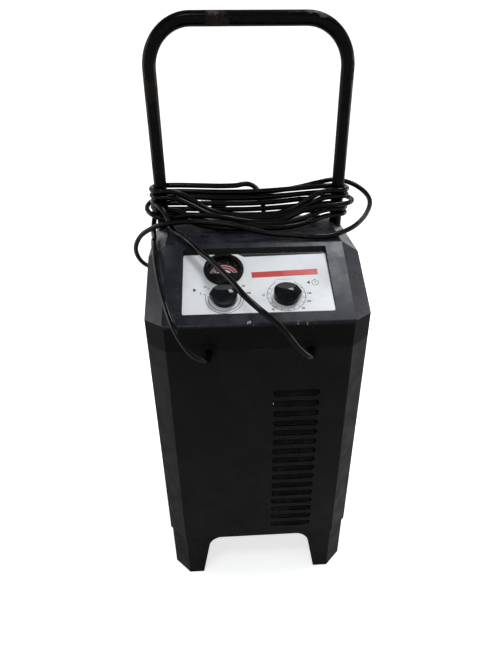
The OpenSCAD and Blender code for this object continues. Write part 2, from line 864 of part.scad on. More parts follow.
module transformer_bolts() {
    placed() color(STEEL) {
        for (spot = core_bolt_spots()) translate([spot[0], core_y, core_z + spot[1]]) {
            seat = spot[1] < core_h / 2 ? core_d / 2 + 2.5 : core_d / 2;
            rod_y(2.5, -seat - 3, seat + 3);
            for (side = [0, 1]) mirror([0, side, 0])
                translate([0, seat, 0]) rotate([-90, 0, 0]) hex_head(4.6, 3.2);
        }
        for (spot = foot_bolt_spots()) translate([spot[0], spot[1], 0]) {
            translate([0, 0, base_h - wall - 3]) cylinder(h = wall + foot_h + 6, r = 3);
            translate([0, 0, base_h - wall - 4]) hex_head(5.2, 4);
            translate([0, 0, base_h + foot_h]) hex_head(5.2, 4);
        }
    }
}

sink_w = 150;
sink_h = 70;
sink_z = 345;
sink_t = 5;

function sink_bolt_spots() =
    [for (x = [-sink_w / 2 + 7, sink_w / 2 - 7]) for (z = [sink_z + 8, sink_z + sink_h - 8]) [x, z]];

// Finned plate on the inside of the rear panel, with a bare middle for the diodes
module heat_sink() {
    face = case_d - wall;
    placed() color([0.75, 0.76, 0.78]) difference() {
        union() {
            translate([-sink_w / 2, face - sink_t, sink_z]) cube([sink_w, sink_t, sink_h]);
            both_sides() for (i = [0:2]) translate([34 + i * 11, face - sink_t - 16, sink_z])
                cube([2.2, 17, sink_h]);
        }
        for (spot = sink_bolt_spots()) translate([spot[0], 0, spot[1]]) rod_y(2 + snug, face - 30, face + 1);
    }
}

module rectifier_diodes() {
    face = case_d - wall - sink_t;
    placed() color(STEEL) for (x = [-15, 15]) for (z = [sink_z + 18, sink_z + sink_h - 18])
        translate([x, 0, z]) {
            rod_y(6.5, face - 5, face);
            rod_y(1, face - 14, face - 4);
        }
}

module circuit_breaker() {
    face = case_d - wall;
    placed() color(BLACK) translate([70, 0, seam_z - 35]) {
        translate([-14, face - 16, -22]) cube([28, 16, 32]);
        for (z = [-15, 3]) translate([0, 0, z]) rod_y(2.5, face - 24, face - 15);
    }
}

// ---- Bushings and screws ----

relief_neck_r = 8;

// Turned bushings that grip the charging cables at the seam
module front_bushings() {
    r = bushing_d / 2;
    placed() color(BLACK) for (x = [-exit_x, exit_x]) translate([x, 0, seam_z]) rotate([90, 0, 0])
        rotate_extrude() polygon([
            [cable_d / 2, -wall - 6], [r - 1, -wall - 6], [r - 1, -wall - 2.2], [r - 2, -wall - 2.2],
            [r - 2, 0], [r, 0], [r, 1.5], [r - 1.5, 2.6], [cable_d / 2 + 1, 2.6], [cable_d / 2, 1.6]]);
}

// Tapered boot where the mains cord leaves the rear panel
module mains_relief() {
    placed() color(BLACK) translate([-mains_x, case_d, mains_z]) rotate([-90, 0, 0])
        rotate_extrude() polygon([
            [mains_d / 2, -wall - 5], [relief_neck_r + 2, -wall - 5], [relief_neck_r + 2, -wall],
            [relief_neck_r, -wall], [relief_neck_r, 0], [relief_neck_r + 2.5, 0], [relief_neck_r + 2.5, 3],
            [mains_d / 2 + 3.2, 4.5], [mains_d / 2 + 1.6, 28], [mains_d / 2, 28]]);
}

module head_screws() {
    placed() color(STEEL) for (x = head_screw_x) translate([x, 0, head_screw_z]) {
        rod_y(2, case_d - 2 * wall - 3, case_d + e);
        rod_y(4, case_d, case_d + 2);
    }
}

module panel_screws() {
    placed() color(STEEL) {
        both_sides() for (z = panel_screw_heights()) translate([panel_screw_x, 0, z]) {
            rod_y(2, case_d - 2 * wall - 3, case_d + e);
            rod_y(4, case_d, case_d + 2);
        }
        for (spot = sink_bolt_spots()) translate([spot[0], 0, spot[1]]) {
            rod_y(2, case_d - wall - sink_t - 3, case_d + e);
            rod_y(4, case_d, case_d + 2);
        }
    }
}

module base_screws() {
    placed() color(STEEL) for (spot = base_screw_spots()) translate([spot[0], spot[1], 0]) {
        translate([0, 0, base_h - wall - e]) cylinder(h = 2 * wall + 3, r = 2);
        translate([0, 0, base_h - wall - 2]) cylinder(h = 2, r = 4);
    }
}

// ---- Cables and cord ----

RED = [0.72, 0.1, 0.1];

// Half the straight run between the two bends of a turn, and the radius of those bends
turn_half = handle_span / 2 - 2;
turn_r = tube_d / 2 + cable_d / 2 + 2.5;
turn_len = 2 * PI * turn_r + 4 * turn_half;
// Height of the lowest turn, and how far the back runs sag
turn_z = 584;
back_sag = 5;
// Where the front runs come forward to, and how far they lie down on the head
front_y = 160;
front_z = 581.8;
lie_down = 75;
// Distance of the mains cord outside the cables it crosses
over = 9.6;

function unit(v) = v / norm(v);
function ease(x) = let (t = min(max(x, 0), 1)) t * t * (3 - 2 * t);

// A point of the front run in slot k, raised by n off the layer of cables
function front_run(x, k, n = 0) =
    let (w = ease(max(1 - pow(x / turn_half, 2), 0)),
         tip = lie_down * w,
         y = handle_y - turn_r,
         base_y = y + (front_y - y) * w,
         base_z = turn_z + (front_z - turn_z) * w)
    [x, base_y + turn_pitch * k * sin(tip) - n * cos(tip),
     base_z + turn_pitch * k * cos(tip) + n * sin(tip)];

// A point of the winding at station i: 24 stations to a turn, 6 on each bend and each run
function station(i) =
    let (k = floor(i / 24),
         j = i - 24 * k,
         part = floor(j / 6),
         t = (j - 6 * part) / 6,
         bend = PI * turn_r,
         run = 2 * turn_half,
         along = part == 0 ? bend * t : part == 1 ? bend + run * t :
                 part == 2 ? bend + run + bend * t : 2 * bend + run + run * t,
         turn = k + along / turn_len,
         z = turn_z + turn_pitch * turn)
    part == 0 ? [-turn_half - turn_r * sin(180 * t), handle_y - turn_r * cos(180 * t), z] :
    part == 1 ? let (x = -turn_half + run * t)
        [x, handle_y + turn_r, z - back_sag * pow(1 - pow(x / turn_half, 2), 2)] :
    part == 2 ? [turn_half + turn_r * sin(180 * t), handle_y + turn_r * cos(180 * t), z] :
        front_run(turn_half - run * t, turn);

// Points first to last of a winding, with a straight lead of one cable diameter at both ends
function winding(first, last, d) =
    let (p = [for (i = [first:last]) station(i)],
         n = len(p) - 1)
    concat([p[0] - d * start_way(first)], p, [p[n] + d * start_way(last)]);
function start_way(i) = unit(station(i + 0.01) - station(i - 0.01));

// The mains cord's half turns lie outside the cables; its front run drops between them
mains_r = turn_r + over;
mains_top = 613;
mains_low = 592;
mains_end = 609;
function mains_slot(x) = 2 + (2 * PI * turn_r + 3 * turn_half - x) / turn_len;
function mains_front(x) =
    let (a = ease((x + turn_half) / (turn_half - 28)),
         k = x < -28 ? 0.87 + (mains_slot(-28) - 0.87) * a : mains_slot(x),
         n = over * (1 - ease((x + 60) / 55) + ease((x - 50) / 75)))
    front_run(x, k, n);
function mains_points() =
    let (z1 = mains_front(turn_half)[2])
    concat(
        [[-turn_half + mains_d, handle_y + mains_r, mains_top]],
        [for (i = [0:6]) [-turn_half - mains_r * sin(30 * i), handle_y + mains_r * cos(30 * i),
                          mains_top + (mains_low - mains_top) * i / 6]],
        [for (i = [1:6]) mains_front(-turn_half + turn_half * i / 3)],
        [for (i = [1:6]) [turn_half + mains_r * sin(30 * i), handle_y - mains_r * cos(30 * i),
                          z1 + (mains_end - z1) * i / 6]],
        [[turn_half - mains_d, handle_y + mains_r, mains_end]]);

// Routes of the free stretches
negative_out = [
    [-68, 0, 474], [-68, -15, 474], [-74, -29, 479], [-88, -33, 492], [-101, -25, 508], [-112, -8, 523],
    [-121, 16, 536], [-128, 42, 547], [-133, 64, 556], [-137, 86, 562], [-140, 106, 569], [-144, 130, 573],
    [-147, 152, 572], [-149, 176, 570], [-152, 198, 572]];
negative_drop = [[86, 242, 605], [99, 248, 602], [109, 257, 591], [114, 264, 574], [115, 267, 558]];
positive_out = [
    [68, 0, 474], [68, -15, 474], [61, -30, 480], [46, -34, 496], [30, -29, 516], [14, -20, 530],
    [-3, -9, 541], [-20, 8, 551], [-37, 36, 561], [-51, 60, 566], [-64, 84, 570], [-76, 100, 574],
    [-89, 117, 581], [-101, 135, 584], [-110, 151, 583], [-117, 165, 584], [-122, 176, 587],
    [-126, 184, 594], [-131, 190, 603], [-139, 198, 610], [-147, 208, 612]];
positive_drop = [
    [-20, 242, 629], [-8, 246, 630], [3, 252, 627], [14, 260, 617], [22, 266, 600],
    [25, 267, 580], [25, 267, 558]];
mains_out = [
    [-60, 270, 430], [-60, 290, 430], [-68, 308, 434], [-88, 317, 443], [-112, 312, 453], [-136, 298, 465],
    [-158, 276, 478], [-175, 252, 492], [-185, 230, 515], [-185, 212, 541], [-172, 196, 566],
    [-155, 185, 580], [-136, 175, 590], [-115, 168, 595], [-90, 164, 597], [-60, 160, 596],
    [-30, 155, 593], [-4, 150, 588], [23, 145, 583], [55, 137, 582], [84, 130, 582], [110, 132, 582],
    [134, 143, 584], [156, 160, 588], [176, 182, 598], [187, 208, 609], [184, 234, 617],
    [167, 252, 626], [138, 254, 632], [110, 250, 629], [81, 249, 623], [50, 249, 618], [10, 249, 615],
    [-40, 249, 614], [-95, 249, 614]];
mains_lead = [
    [112, 250, 611], [86, 251, 611], [58, 252, 608], [32, 253, 605], [8, 256, 601], [-14, 258, 599]];

// Directions of travel along a route that starts and ends in the given directions
function headings(p, first, last) =
    let (n = len(p) - 1)
    [for (i = [0:n]) i == 0 ? first : i == n ? last :
        unit(unit(p[i + 1] - p[i]) + unit(p[i] - p[i - 1]))];

// One side vector for each heading, carried along without twist
function flat_to(v, h) = unit(v - (v * h) * h);
function side_vectors(h) =
    let (n = len(h) - 1)
    [for (i = 0, v = flat_to([0.3, 0.2, 1], h[0]); i <= n; v = flat_to(v, h[min(i + 1, n)]), i = i + 1)
        v];

// A closed tube of round section along a route
module tube(p, r, first, last, faces = 8) {
    h = headings(p, first, last);
    v = side_vectors(h);
    n = len(p) - 1;
    m = faces;
    ring = [for (i = [0:n]) for (j = [0:m - 1])
        p[i] + r * (cos(360 * j / m) * v[i] + sin(360 * j / m) * cross(h[i], v[i]))];
    skin = [for (i = [0:n - 1]) for (j = [0:m - 1]) let (a = i * m + j, b = i * m + (j + 1) % m)
        for (t = [[a, a + m, b + m], [a, b + m, b]]) t];
    ends = [for (j = [1:m - 2]) for (t = [[0, j, j + 1], [n * m, n * m + j + 1, n * m + j]]) t];
    polyhedron(ring, concat(skin, ends));
}

// A tube along a winding's points: its ends are straight
module wound_tube(p, r) {
    n = len(p) - 1;
    tube(p, r, unit(p[1] - p[0]), unit(p[n] - p[n - 1]), 6);
}

// Least distance from point q to the piece of route from a to b
function to_piece(q, a, b) =
    let (w = b - a, t = min(max((q - a) * w / (w * w), 0), 1))
    norm(q - a - t * w);

// Least gap of a tube of diameter d to its own other turns, skip points away
function self_gap(p, d, skip) =
    let (n = len(p) - 1)
    min([for (i = [0:n - skip - 1]) for (j = [i + skip:n - 1]) to_piece(p[i], p[j], p[j + 1])]) - d;

negative_turns = winding(3, 58, cable_d);
positive_turns = winding(75, 128, cable_d);
echo(negative_winding_gap = self_gap(negative_turns, cable_d, 12));
echo(positive_winding_gap = self_gap(positive_turns, cable_d, 12));
echo(mains_winding_gap = self_gap(mains_points(), mains_d, 12));

// A free stretch from its outlet to the start of a winding
module stretch_to(p, wound, r) {
    route = concat(p, [wound[0]]);
    tube(route, r, unit(p[1] - p[0]), unit(wound[1] - wound[0]));
}

// A free stretch from the end of a winding to what hangs on it
module stretch_from(wound, p, r) {
    n = len(wound) - 1;
    k = len(p) - 1;
    tube(concat([wound[n]], p), r, unit(wound[n] - wound[n - 1]), unit(p[k] - p[k - 1]));
}

// Where each cable runs into its clamp: top of the grip, on the cable's axis
negative_top = [115, 267, 545];
positive_top = [25, 267, 545];
crimp_depth = 22;

module negative_cable() {
    placed() color(BLACK) {
        stretch_to(negative_out, negative_turns, cable_d / 2);
        stretch_from(negative_turns, concat(negative_drop, [negative_top - [0, 0, crimp_depth]]),
                     cable_d / 2);
    }
}

module negative_winding() {
    placed() color(BLACK) wound_tube(negative_turns, cable_d / 2);
}

module positive_cable() {
    placed() color(BLACK) {
        stretch_to(positive_out, positive_turns, cable_d / 2);
        stretch_from(positive_turns, concat(positive_drop, [positive_top - [0, 0, crimp_depth]]),
                     cable_d / 2);
    }
}

module positive_winding() {
    placed() color(BLACK) wound_tube(positive_turns, cable_d / 2);
}

module mains_cord() {
    placed() color(SOFT_BLACK) {
        stretch_to(mains_out, mains_points(), mains_d / 2);
        stretch_from(mains_points(), mains_lead, mains_d / 2);
    }
}

module mains_winding() {
    placed() color(SOFT_BLACK) wound_tube(mains_points(), mains_d / 2);
}

// The plug lies along -x from the end of its lead
plug_w = 25;
plug_h = 17;
plug_relief = 24;
plug_l = 24;
blade_gap = 12.7;

module plug_frame() {
    placed() translate(mains_lead[len(mains_lead) - 1]) rotate([0, -90, 0]) children();
}

module mains_plug() {
    neck = mains_d / 2;
    color(SOFT_BLACK) plug_frame() {
        difference() {
            translate([0, 0, -6]) cylinder(h = plug_relief + 8, r1 = neck + 1.6, r2 = neck + 3.4);
            translate([0, 0, -7]) cylinder(h = 7, r = neck);
        }
        translate([0, 0, plug_relief]) linear_extrude(plug_l) round_block(plug_h, plug_w, 5);
        translate([0, 0, plug_relief - 2]) linear_extrude(plug_l - 8) round_block(plug_h - 4, plug_w - 4, 5);
    }
}

// Two flat blades, the wider one polarised
module plug_blades() {
    color(STEEL) plug_frame() for (side = [-1, 1]) {
        tall = side < 0 ? 7.9 : 6.3;
        difference() {
            translate([-tall / 2, side * blade_gap / 2 - 0.75, plug_relief + plug_l])
                cube([tall, 1.5, 16]);
            translate([0, side * blade_gap / 2 - 2, plug_relief + plug_l + 12])
                rotate([-90, 0, 0]) cylinder(h = 4, r = 1.5);
        }
    }
}

// ---- Clamps ----
// Side view: +x from the rivet to the tips of the jaws, +y to the outside of the fixed half

rivet_r = 3;
handle_depth = 8;
ear_r = 5.8;
cable_q = 2.2;
nest_gap = 0.1;
grip_start = 20;

// From the fixed handle's own frame, along the handle and outward, to the side view
function on_handle(along, out) =
    [-along * cos(grip_angle) + out * sin(grip_angle), along * sin(grip_angle) + out * cos(grip_angle)];

// Teeth of a jaw from its tip back to the rivet, as [x, y]
function teeth() =
    let (n = 8, x0 = 14, pitch = (jaw_l - 2 - x0) / n)
    [for (i = [0:n - 1]) for (p = [[0, 0.2], [pitch * 0.5, 2]]) [jaw_l - 2 - i * pitch - p[0], p[1]]];

// Outside of a half in the side view
module half_outline() {
    polygon(concat(
        [[jaw_l, 0.2], [jaw_l, 2.8], [jaw_l - 10, 6.4], [30, 8.6], [4, 9], [-3, 4], [6, 2]],
        [for (i = [len(teeth()) - 1:-1:0]) teeth()[i]]));
    polygon([on_handle(-2, 0), on_handle(-2, handle_depth), on_handle(grip_l, handle_depth),
             on_handle(grip_l, 0)]);
}

// A pressed channel of the given width, open towards the other half
module jaw_half(width, crimp) {
    difference() {
        union() {
            linear_extrude(width, center = true) {
                half_outline();
                circle(r = ear_r);
            }
            if (crimp) crimp_solid(cable_d / 2 + 1.2);
        }
        difference() {
            linear_extrude(width - 2 * clamp_t, center = true) {
                half_hollow();
                circle(r = ear_r + 0.5);
            }
            if (crimp) crimp_solid(cable_d / 2 + 1.2);
        }
        if (crimp) crimp_solid(cable_d / 2, 1);
        cylinder(h = 2 * width, r = rivet_r + 0.05, center = true);
    }
}

// The hollow of a half: everything inside its back
module half_hollow() {
    polygon([[jaw_l - 3, -2], [jaw_l - 3, 2.2], [jaw_l - 11, 6.4 - clamp_t], [30, 8.6 - clamp_t],
             [4, 9 - clamp_t], [-4, 4], [-4, -2]]);
    polygon([on_handle(-6, -2), on_handle(-6, handle_depth - clamp_t),
             on_handle(grip_l + 1, handle_depth - clamp_t),
             on_handle(grip_l + 1, -2)]);
}

// A round piece on the cable's axis along the fixed handle
module crimp_solid(r, longer = 0) {
    p = on_handle(grip_l + grip_t - crimp_depth - 5 - longer, cable_q);
    translate([p[0], p[1], 0]) rotate([0, 0, -grip_angle]) rotate([0, -90, 0])
        cylinder(h = 10 + 2 * longer, r = r);
}

// A plastic sleeve over a handle, closed at its end, with shallow cross grooves on its back
module grip_half(width, bored) {
    low = -1.2;
    lip = -3.5;
    back = handle_depth + grip_t;
    last = grip_l + grip_t;
    difference() {
        linear_extrude(width + 2 * grip_t, center = true)
            polygon([on_handle(grip_start, low), on_handle(grip_start, back - 1),
                     on_handle(grip_start + 2, back),
                     on_handle(grip_l - 1, back + 0.8), on_handle(last, back), on_handle(last, lip),
                     on_handle(grip_l - 1, lip), on_handle(grip_l - 1, low)]);
        linear_extrude(width, center = true)
            polygon([on_handle(grip_start - 1, low - 1), on_handle(grip_start - 1, handle_depth),
                     on_handle(grip_l, handle_depth), on_handle(grip_l, lip - 1)]);
        if (bored) cable_bore();
        linear_extrude(width + 8, center = true) for (i = [0:5]) {
            p = on_handle(grip_start + 12 + i * 10, back + 1.2);
            translate(p) rotate(-grip_angle) square([2.5, 2.4], center = true);
        }
    }
}

// The hole for the cable in the end of a grip
module cable_bore() {
    p = on_handle(grip_l - 2, cable_q);
    translate([p[0], p[1], 0]) rotate([0, 0, -grip_angle]) rotate([0, -90, 0])
        cylinder(h = 2 * grip_t + 4, r = cable_d / 2);
}

coil_r = rivet_r + wire_d / 2 + 1.25;

// The torsion spring: one wire from the fixed handle, round the rivet, to the moving handle
function spring_points() =
    let (turns = 4,
         sweep = 180 - 2 * grip_angle + 360 * turns,
         n = ceil(sweep / 45),
         rise = 2.4 * sweep / 360,
         leg = 30,
         start = on_handle(leg, coil_r),
         coil = [for (i = [0:n]) let (a = 90 - grip_angle - sweep * i / n)
                 [coil_r * cos(a), coil_r * sin(a), rise / 2 - rise * i / n]])
    concat([[start[0], start[1], rise / 2]], coil, [[start[0], -start[1], -rise / 2]]);
echo(spring_gap = self_gap(spring_points(), wire_d, 6));

// Stands a clamp's side view behind the case, its fixed handle upright under the cable
module clamp_at(top) {
    placed() translate(top - [cable_q, 0, grip_l + grip_t])
        rotate([0, 90 - grip_angle, 0]) rotate([90, 0, 0]) children();
}

module clamp_rivet() {
    half = clamp_w / 2;
    cylinder(h = clamp_w, r = rivet_r, center = true);
    for (side = [0, 1]) mirror([0, 0, side]) rotate_extrude()
        polygon([[0, half], [5, half], [4.4, half + 1], [2, half + 1.4], [0, half + 1.4]]);
}

inner_w = clamp_w - 2 * clamp_t - 2 * nest_gap;

module negative_fixed_jaw() {
    color(STEEL) clamp_at(negative_top) jaw_half(clamp_w, true);
}

module negative_moving_jaw() {
    color(STEEL) clamp_at(negative_top) mirror([0, 1, 0]) jaw_half(inner_w, false);
}

module negative_fixed_grip() {
    color(BLACK) clamp_at(negative_top) grip_half(clamp_w, true);
}

module negative_moving_grip() {
    color(BLACK) clamp_at(negative_top) mirror([0, 1, 0]) grip_half(inner_w, false);
}

module negative_spring() {
    color(STEEL) clamp_at(negative_top) wound_tube(spring_points(), wire_d / 2);
}

module negative_rivet() {
    color(STEEL) clamp_at(negative_top) clamp_rivet();
}

module positive_fixed_jaw() {
    color(STEEL) clamp_at(positive_top) jaw_half(clamp_w, true);
}

module positive_moving_jaw() {
    color(STEEL) clamp_at(positive_top) mirror([0, 1, 0]) jaw_half(inner_w, false);
}

module positive_fixed_grip() {
    color(RED) clamp_at(positive_top) grip_half(clamp_w, true);
}

module positive_moving_grip() {
    color(RED) clamp_at(positive_top) mirror([0, 1, 0]) grip_half(inner_w, false);
}

module positive_spring() {
    color(STEEL) clamp_at(positive_top) wound_tube(spring_points(), wire_d / 2);
}

module positive_rivet() {
    color(STEEL) clamp_at(positive_top) clamp_rivet();
}

base_moulding();
front_shell();
head_cover();
rear_panel();
panel_label();
meter_case();
meter_dial();
meter_lens();
meter_needle();
rate_switch();
rate_shaft();
rate_knob();
timer_body();
timer_shaft();
timer_knob();
control_nuts();
handle_tube();
handle_brackets();
handle_bolts();
axle();
axle_caps();
left_rim();
left_tyre();
right_rim();
right_tyre();
transformer_core();
transformer_windings();
transformer_feet();
transformer_bolts();
heat_sink();
rectifier_diodes();
circuit_breaker();
front_bushings();
mains_relief();
head_screws();
panel_screws();
base_screws();
negative_cable();
negative_winding();
positive_cable();
positive_winding();
mains_cord();
mains_winding();
mains_plug();
plug_blades();
negative_fixed_jaw();
negative_moving_jaw();
negative_fixed_grip();
negative_moving_grip();
negative_spring();
negative_rivet();
positive_fixed_jaw();
positive_moving_jaw();
positive_fixed_grip();
positive_moving_grip();
positive_spring();
positive_rivet();
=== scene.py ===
"""Looks of the wheeled battery charger: camera, springs, cords, materials, print, floor and light."""

import json
import math

import bmesh
import bpy
from mathutils import Matrix, Vector


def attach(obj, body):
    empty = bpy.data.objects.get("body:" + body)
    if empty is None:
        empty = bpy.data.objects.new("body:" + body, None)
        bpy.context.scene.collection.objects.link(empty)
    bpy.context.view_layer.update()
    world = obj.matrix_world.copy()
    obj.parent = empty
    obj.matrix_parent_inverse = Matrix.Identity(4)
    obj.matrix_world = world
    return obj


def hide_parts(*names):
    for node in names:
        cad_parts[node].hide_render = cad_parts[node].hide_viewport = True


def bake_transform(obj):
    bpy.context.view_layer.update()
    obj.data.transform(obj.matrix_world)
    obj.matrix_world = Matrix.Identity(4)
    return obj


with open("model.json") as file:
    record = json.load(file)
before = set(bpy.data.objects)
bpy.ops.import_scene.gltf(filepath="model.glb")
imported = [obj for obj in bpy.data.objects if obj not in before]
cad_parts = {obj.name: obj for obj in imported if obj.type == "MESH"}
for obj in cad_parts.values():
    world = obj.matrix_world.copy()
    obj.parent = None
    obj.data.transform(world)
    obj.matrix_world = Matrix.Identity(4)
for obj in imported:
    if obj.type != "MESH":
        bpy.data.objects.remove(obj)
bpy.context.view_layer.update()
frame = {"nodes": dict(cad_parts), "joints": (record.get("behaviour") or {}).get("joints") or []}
NODES = frame["nodes"]
JOINT_AT = {joint["name"]: joint["pos_m"] for joint in frame["joints"]}
SCENE = bpy.context.scene
MM = 1000  # millimetres in a metre
DEPTH_MID = 141.0  # the front face lies this many millimetres before the row frame's origin


def at(x, y, z):
    """A point given in millimetres, with y from the front face, in the row frame in metres."""
    return Vector((x, y - DEPTH_MID, z)) / MM


def show(name, data):
    """A new object in the scene, made of the given data."""
    obj = bpy.data.objects.new(name, data)
    SCENE.collection.objects.link(obj)
    return obj


def solid(name, bm):
    """A new object from closed bmesh data, with its faces turned outwards."""
    mesh = bpy.data.meshes.new(name)
    bmesh.ops.recalc_face_normals(bm, faces=bm.faces)
    bm.to_mesh(mesh)
    bm.free()
    return show(name, mesh)


# ---- Camera, calibrated on the straight edges in the photograph ----

YAW, PITCH, ROLL = math.radians(3.06), math.radians(30.88), math.radians(-0.37)
CAMERA_AT = at(-43.3, -559.9, 834.9)
SENSOR_HEIGHT, FOCAL_LENGTH = 36.0, 27.04  # millimetres
NEAREST, FARTHEST = 0.05, 60.0  # metres

ahead = Vector((math.sin(YAW), math.cos(YAW), 0))
side = Vector((math.cos(YAW), -math.sin(YAW), 0))
view = ahead * math.cos(PITCH) - Vector((0, 0, math.sin(PITCH)))
level_up = Vector((0, 0, math.cos(PITCH))) + ahead * math.sin(PITCH)
right = side * math.cos(ROLL) + level_up * math.sin(ROLL)
up = level_up * math.cos(ROLL) - side * math.sin(ROLL)
camera_data = bpy.data.cameras.new("camera")
camera_data.sensor_fit = "VERTICAL"
camera_data.sensor_height = SENSOR_HEIGHT
camera_data.lens = FOCAL_LENGTH
camera_data.clip_start = NEAREST
camera_data.clip_end = FARTHEST
camera = show("camera", camera_data)
camera.matrix_world = Matrix.Translation(CAMERA_AT) @ Matrix((right, up, -view)).transposed().to_4x4()
SCENE.camera = camera


# ---- Routes of the cords, in millimetres, as in the part's source ----

CABLE_D, MAINS_D = 8.0, 7.5
LEG_Y = 224.0  # the plane of the handle's legs
# Half the straight run between the two bends of a turn, the radius of those bends and a turn's length
HALF, TURN_R = 136.0, 16.0
TURN_LEN = 2 * math.pi * TURN_R + 4 * HALF
# Height of the lowest turn, the distance between turns, and how far the back runs sag
TURN_Z, TURN_PITCH, BACK_SAG = 584.0, 9.4, 5.0
# Where the front runs come forward to, and by how many degrees they lie down on the head
FRONT_Y, FRONT_Z, LIE_DOWN = 160.0, 581.8, 75.0
# Stations of a turn, and of each of its two bends and two runs
STATIONS, STRETCH = 24, 6


def ease(x):
    """0 up to x = 0, 1 from x = 1, and a smooth step between."""
    t = min(max(x, 0.0), 1.0)
    return t * t * (3 - 2 * t)


def front_run(x, k, n=0.0):
    """A point of the front run in slot k, raised by n off the layer of cables."""
    w = ease(max(1 - (x / HALF) ** 2, 0))
    tip = math.radians(LIE_DOWN * w)
    y = LEG_Y - TURN_R
    base_y = y + (FRONT_Y - y) * w
    base_z = TURN_Z + (FRONT_Z - TURN_Z) * w
    return (x, base_y + TURN_PITCH * k * math.sin(tip) - n * math.cos(tip),
            base_z + TURN_PITCH * k * math.cos(tip) + n * math.sin(tip))


def station(i):
    """A point of the winding: left bend, back run, right bend and front run make a turn."""
    k = math.floor(i / STATIONS)
    j = i - STATIONS * k
    part = int(j // STRETCH)
    t = (j - STRETCH * part) / STRETCH
    bend, run = math.pi * TURN_R, 2 * HALF
    along = (bend * t, bend + run * t, bend + run + bend * t, 2 * bend + run + run * t)[part]
    turn = k + along / TURN_LEN
    z = TURN_Z + TURN_PITCH * turn
    a = math.pi * t
    if part == 0:
        return (-HALF - TURN_R * math.sin(a), LEG_Y - TURN_R * math.cos(a), z)
    if part == 1:
        x = -HALF + run * t
        return (x, LEG_Y + TURN_R, z - BACK_SAG * (1 - (x / HALF) ** 2) ** 2)
    if part == 2:
        return (HALF + TURN_R * math.sin(a), LEG_Y + TURN_R * math.cos(a), z)
    return front_run(HALF - run * t, turn)


def winding(first, last):
    """Points of the winding from one station to another, two to a station."""
    return [station(first + i / 2) for i in range(2 * (last - first) + 1)]


# The mains cord's half turns lie this far outside the cables, at these heights
OVER = 9.6
MAINS_R = TURN_R + OVER
MAINS_TOP, MAINS_LOW, MAINS_END = 613.0, 592.0, 609.0
# Its front run starts in the first slot, comes down between the cables and climbs out again
MAINS_SLOT, SLOT_X = 0.87, -28
DOWN_X, DOWN_LEN, OUT_X, OUT_LEN = -60, 55, 50, 75
BEND_STEPS = 6


def mains_slot(x):
    """The free slot between the cables at x."""
    return 2 + (2 * math.pi * TURN_R + 3 * HALF - x) / TURN_LEN


def mains_front(x):
    """A point of the mains cord's front run."""
    a = ease((x + HALF) / (HALF + SLOT_X))
    k = MAINS_SLOT + (mains_slot(SLOT_X) - MAINS_SLOT) * a if x < SLOT_X else mains_slot(x)
    return front_run(x, k, OVER * (1 - ease((x - DOWN_X) / DOWN_LEN) + ease((x - OUT_X) / OUT_LEN)))


def mains_winding():
    """Points of the mains cord from the back round the left leg, over the front and round the right leg."""
    z1 = mains_front(HALF)[2]
    steps = range(1, BEND_STEPS + 1)
    turn = [math.radians(180 * i / BEND_STEPS) for i in range(BEND_STEPS + 1)]
    return ([(-HALF + MAINS_D, LEG_Y + MAINS_R, MAINS_TOP)]
            + [(-HALF - MAINS_R * math.sin(a), LEG_Y + MAINS_R * math.cos(a),
                MAINS_TOP + (MAINS_LOW - MAINS_TOP) * i / BEND_STEPS) for i, a in enumerate(turn)]
            + [mains_front(-HALF + 2 * HALF * i / BEND_STEPS) for i in steps]
            + [(HALF + MAINS_R * math.sin(turn[i]), LEG_Y - MAINS_R * math.cos(turn[i]),
                z1 + (MAINS_END - z1) * i / BEND_STEPS) for i in steps]
            + [(HALF - MAINS_D, LEG_Y + MAINS_R, MAINS_END)])


# Where the cords leave the bushings and the relief, and the first and last stations of the cables' windings
NEGATIVE_TURNS, POSITIVE_TURNS = (3, 58), (75, 128)
# The free stretches: from the exits to the winding, and from the winding to the clamps and the plug
NEGATIVE_OUT = [
    (-68, 0, 474), (-68, -15, 474), (-74, -29, 479), (-88, -33, 492), (-101, -25, 508), (-112, -8, 523),
    (-121, 16, 536), (-128, 42, 547), (-133, 64, 556), (-137, 86, 562), (-140, 106, 569), (-144, 130, 573),
    (-147, 152, 572), (-149, 176, 570), (-152, 198, 572)]
NEGATIVE_DROP = [(86, 242, 605), (99, 248, 602), (109, 257, 591), (114, 264, 574), (115, 267, 558),
                 (115, 267, 523)]
POSITIVE_OUT = [
    (68, 0, 474), (68, -15, 474), (61, -30, 480), (46, -34, 496), (30, -29, 516), (14, -20, 530),
    (-3, -9, 541), (-20, 8, 551), (-37, 36, 561), (-51, 60, 566), (-64, 84, 570), (-76, 100, 574),
    (-89, 117, 581), (-101, 135, 584), (-110, 151, 583), (-117, 165, 584), (-122, 176, 587),
    (-126, 184, 594), (-131, 190, 603), (-139, 198, 610), (-147, 208, 612)]
POSITIVE_DROP = [(-20, 242, 629), (-8, 246, 630), (3, 252, 627), (14, 260, 617), (22, 266, 600),
                 (25, 267, 580), (25, 267, 558), (25, 267, 523)]
MAINS_OUT = [
    (-60, 270, 430), (-60, 290, 430), (-68, 308, 434), (-88, 317, 443), (-112, 312, 453), (-136, 298, 465),
    (-158, 276, 478), (-175, 252, 492), (-185, 230, 515), (-185, 212, 541), (-172, 196, 566),
    (-155, 185, 580), (-136, 175, 590), (-115, 168, 595), (-90, 164, 597), (-60, 160, 596),
    (-30, 155, 593), (-4, 150, 588), (23, 145, 583), (55, 137, 582), (84, 130, 582), (110, 132, 582),
    (134, 143, 584), (156, 160, 588), (176, 182, 598), (187, 208, 609), (184, 234, 617),
    (167, 252, 626), (138, 254, 632), (110, 250, 629), (81, 249, 623), (50, 249, 618), (10, 249, 615),
    (-40, 249, 614), (-95, 249, 614)]
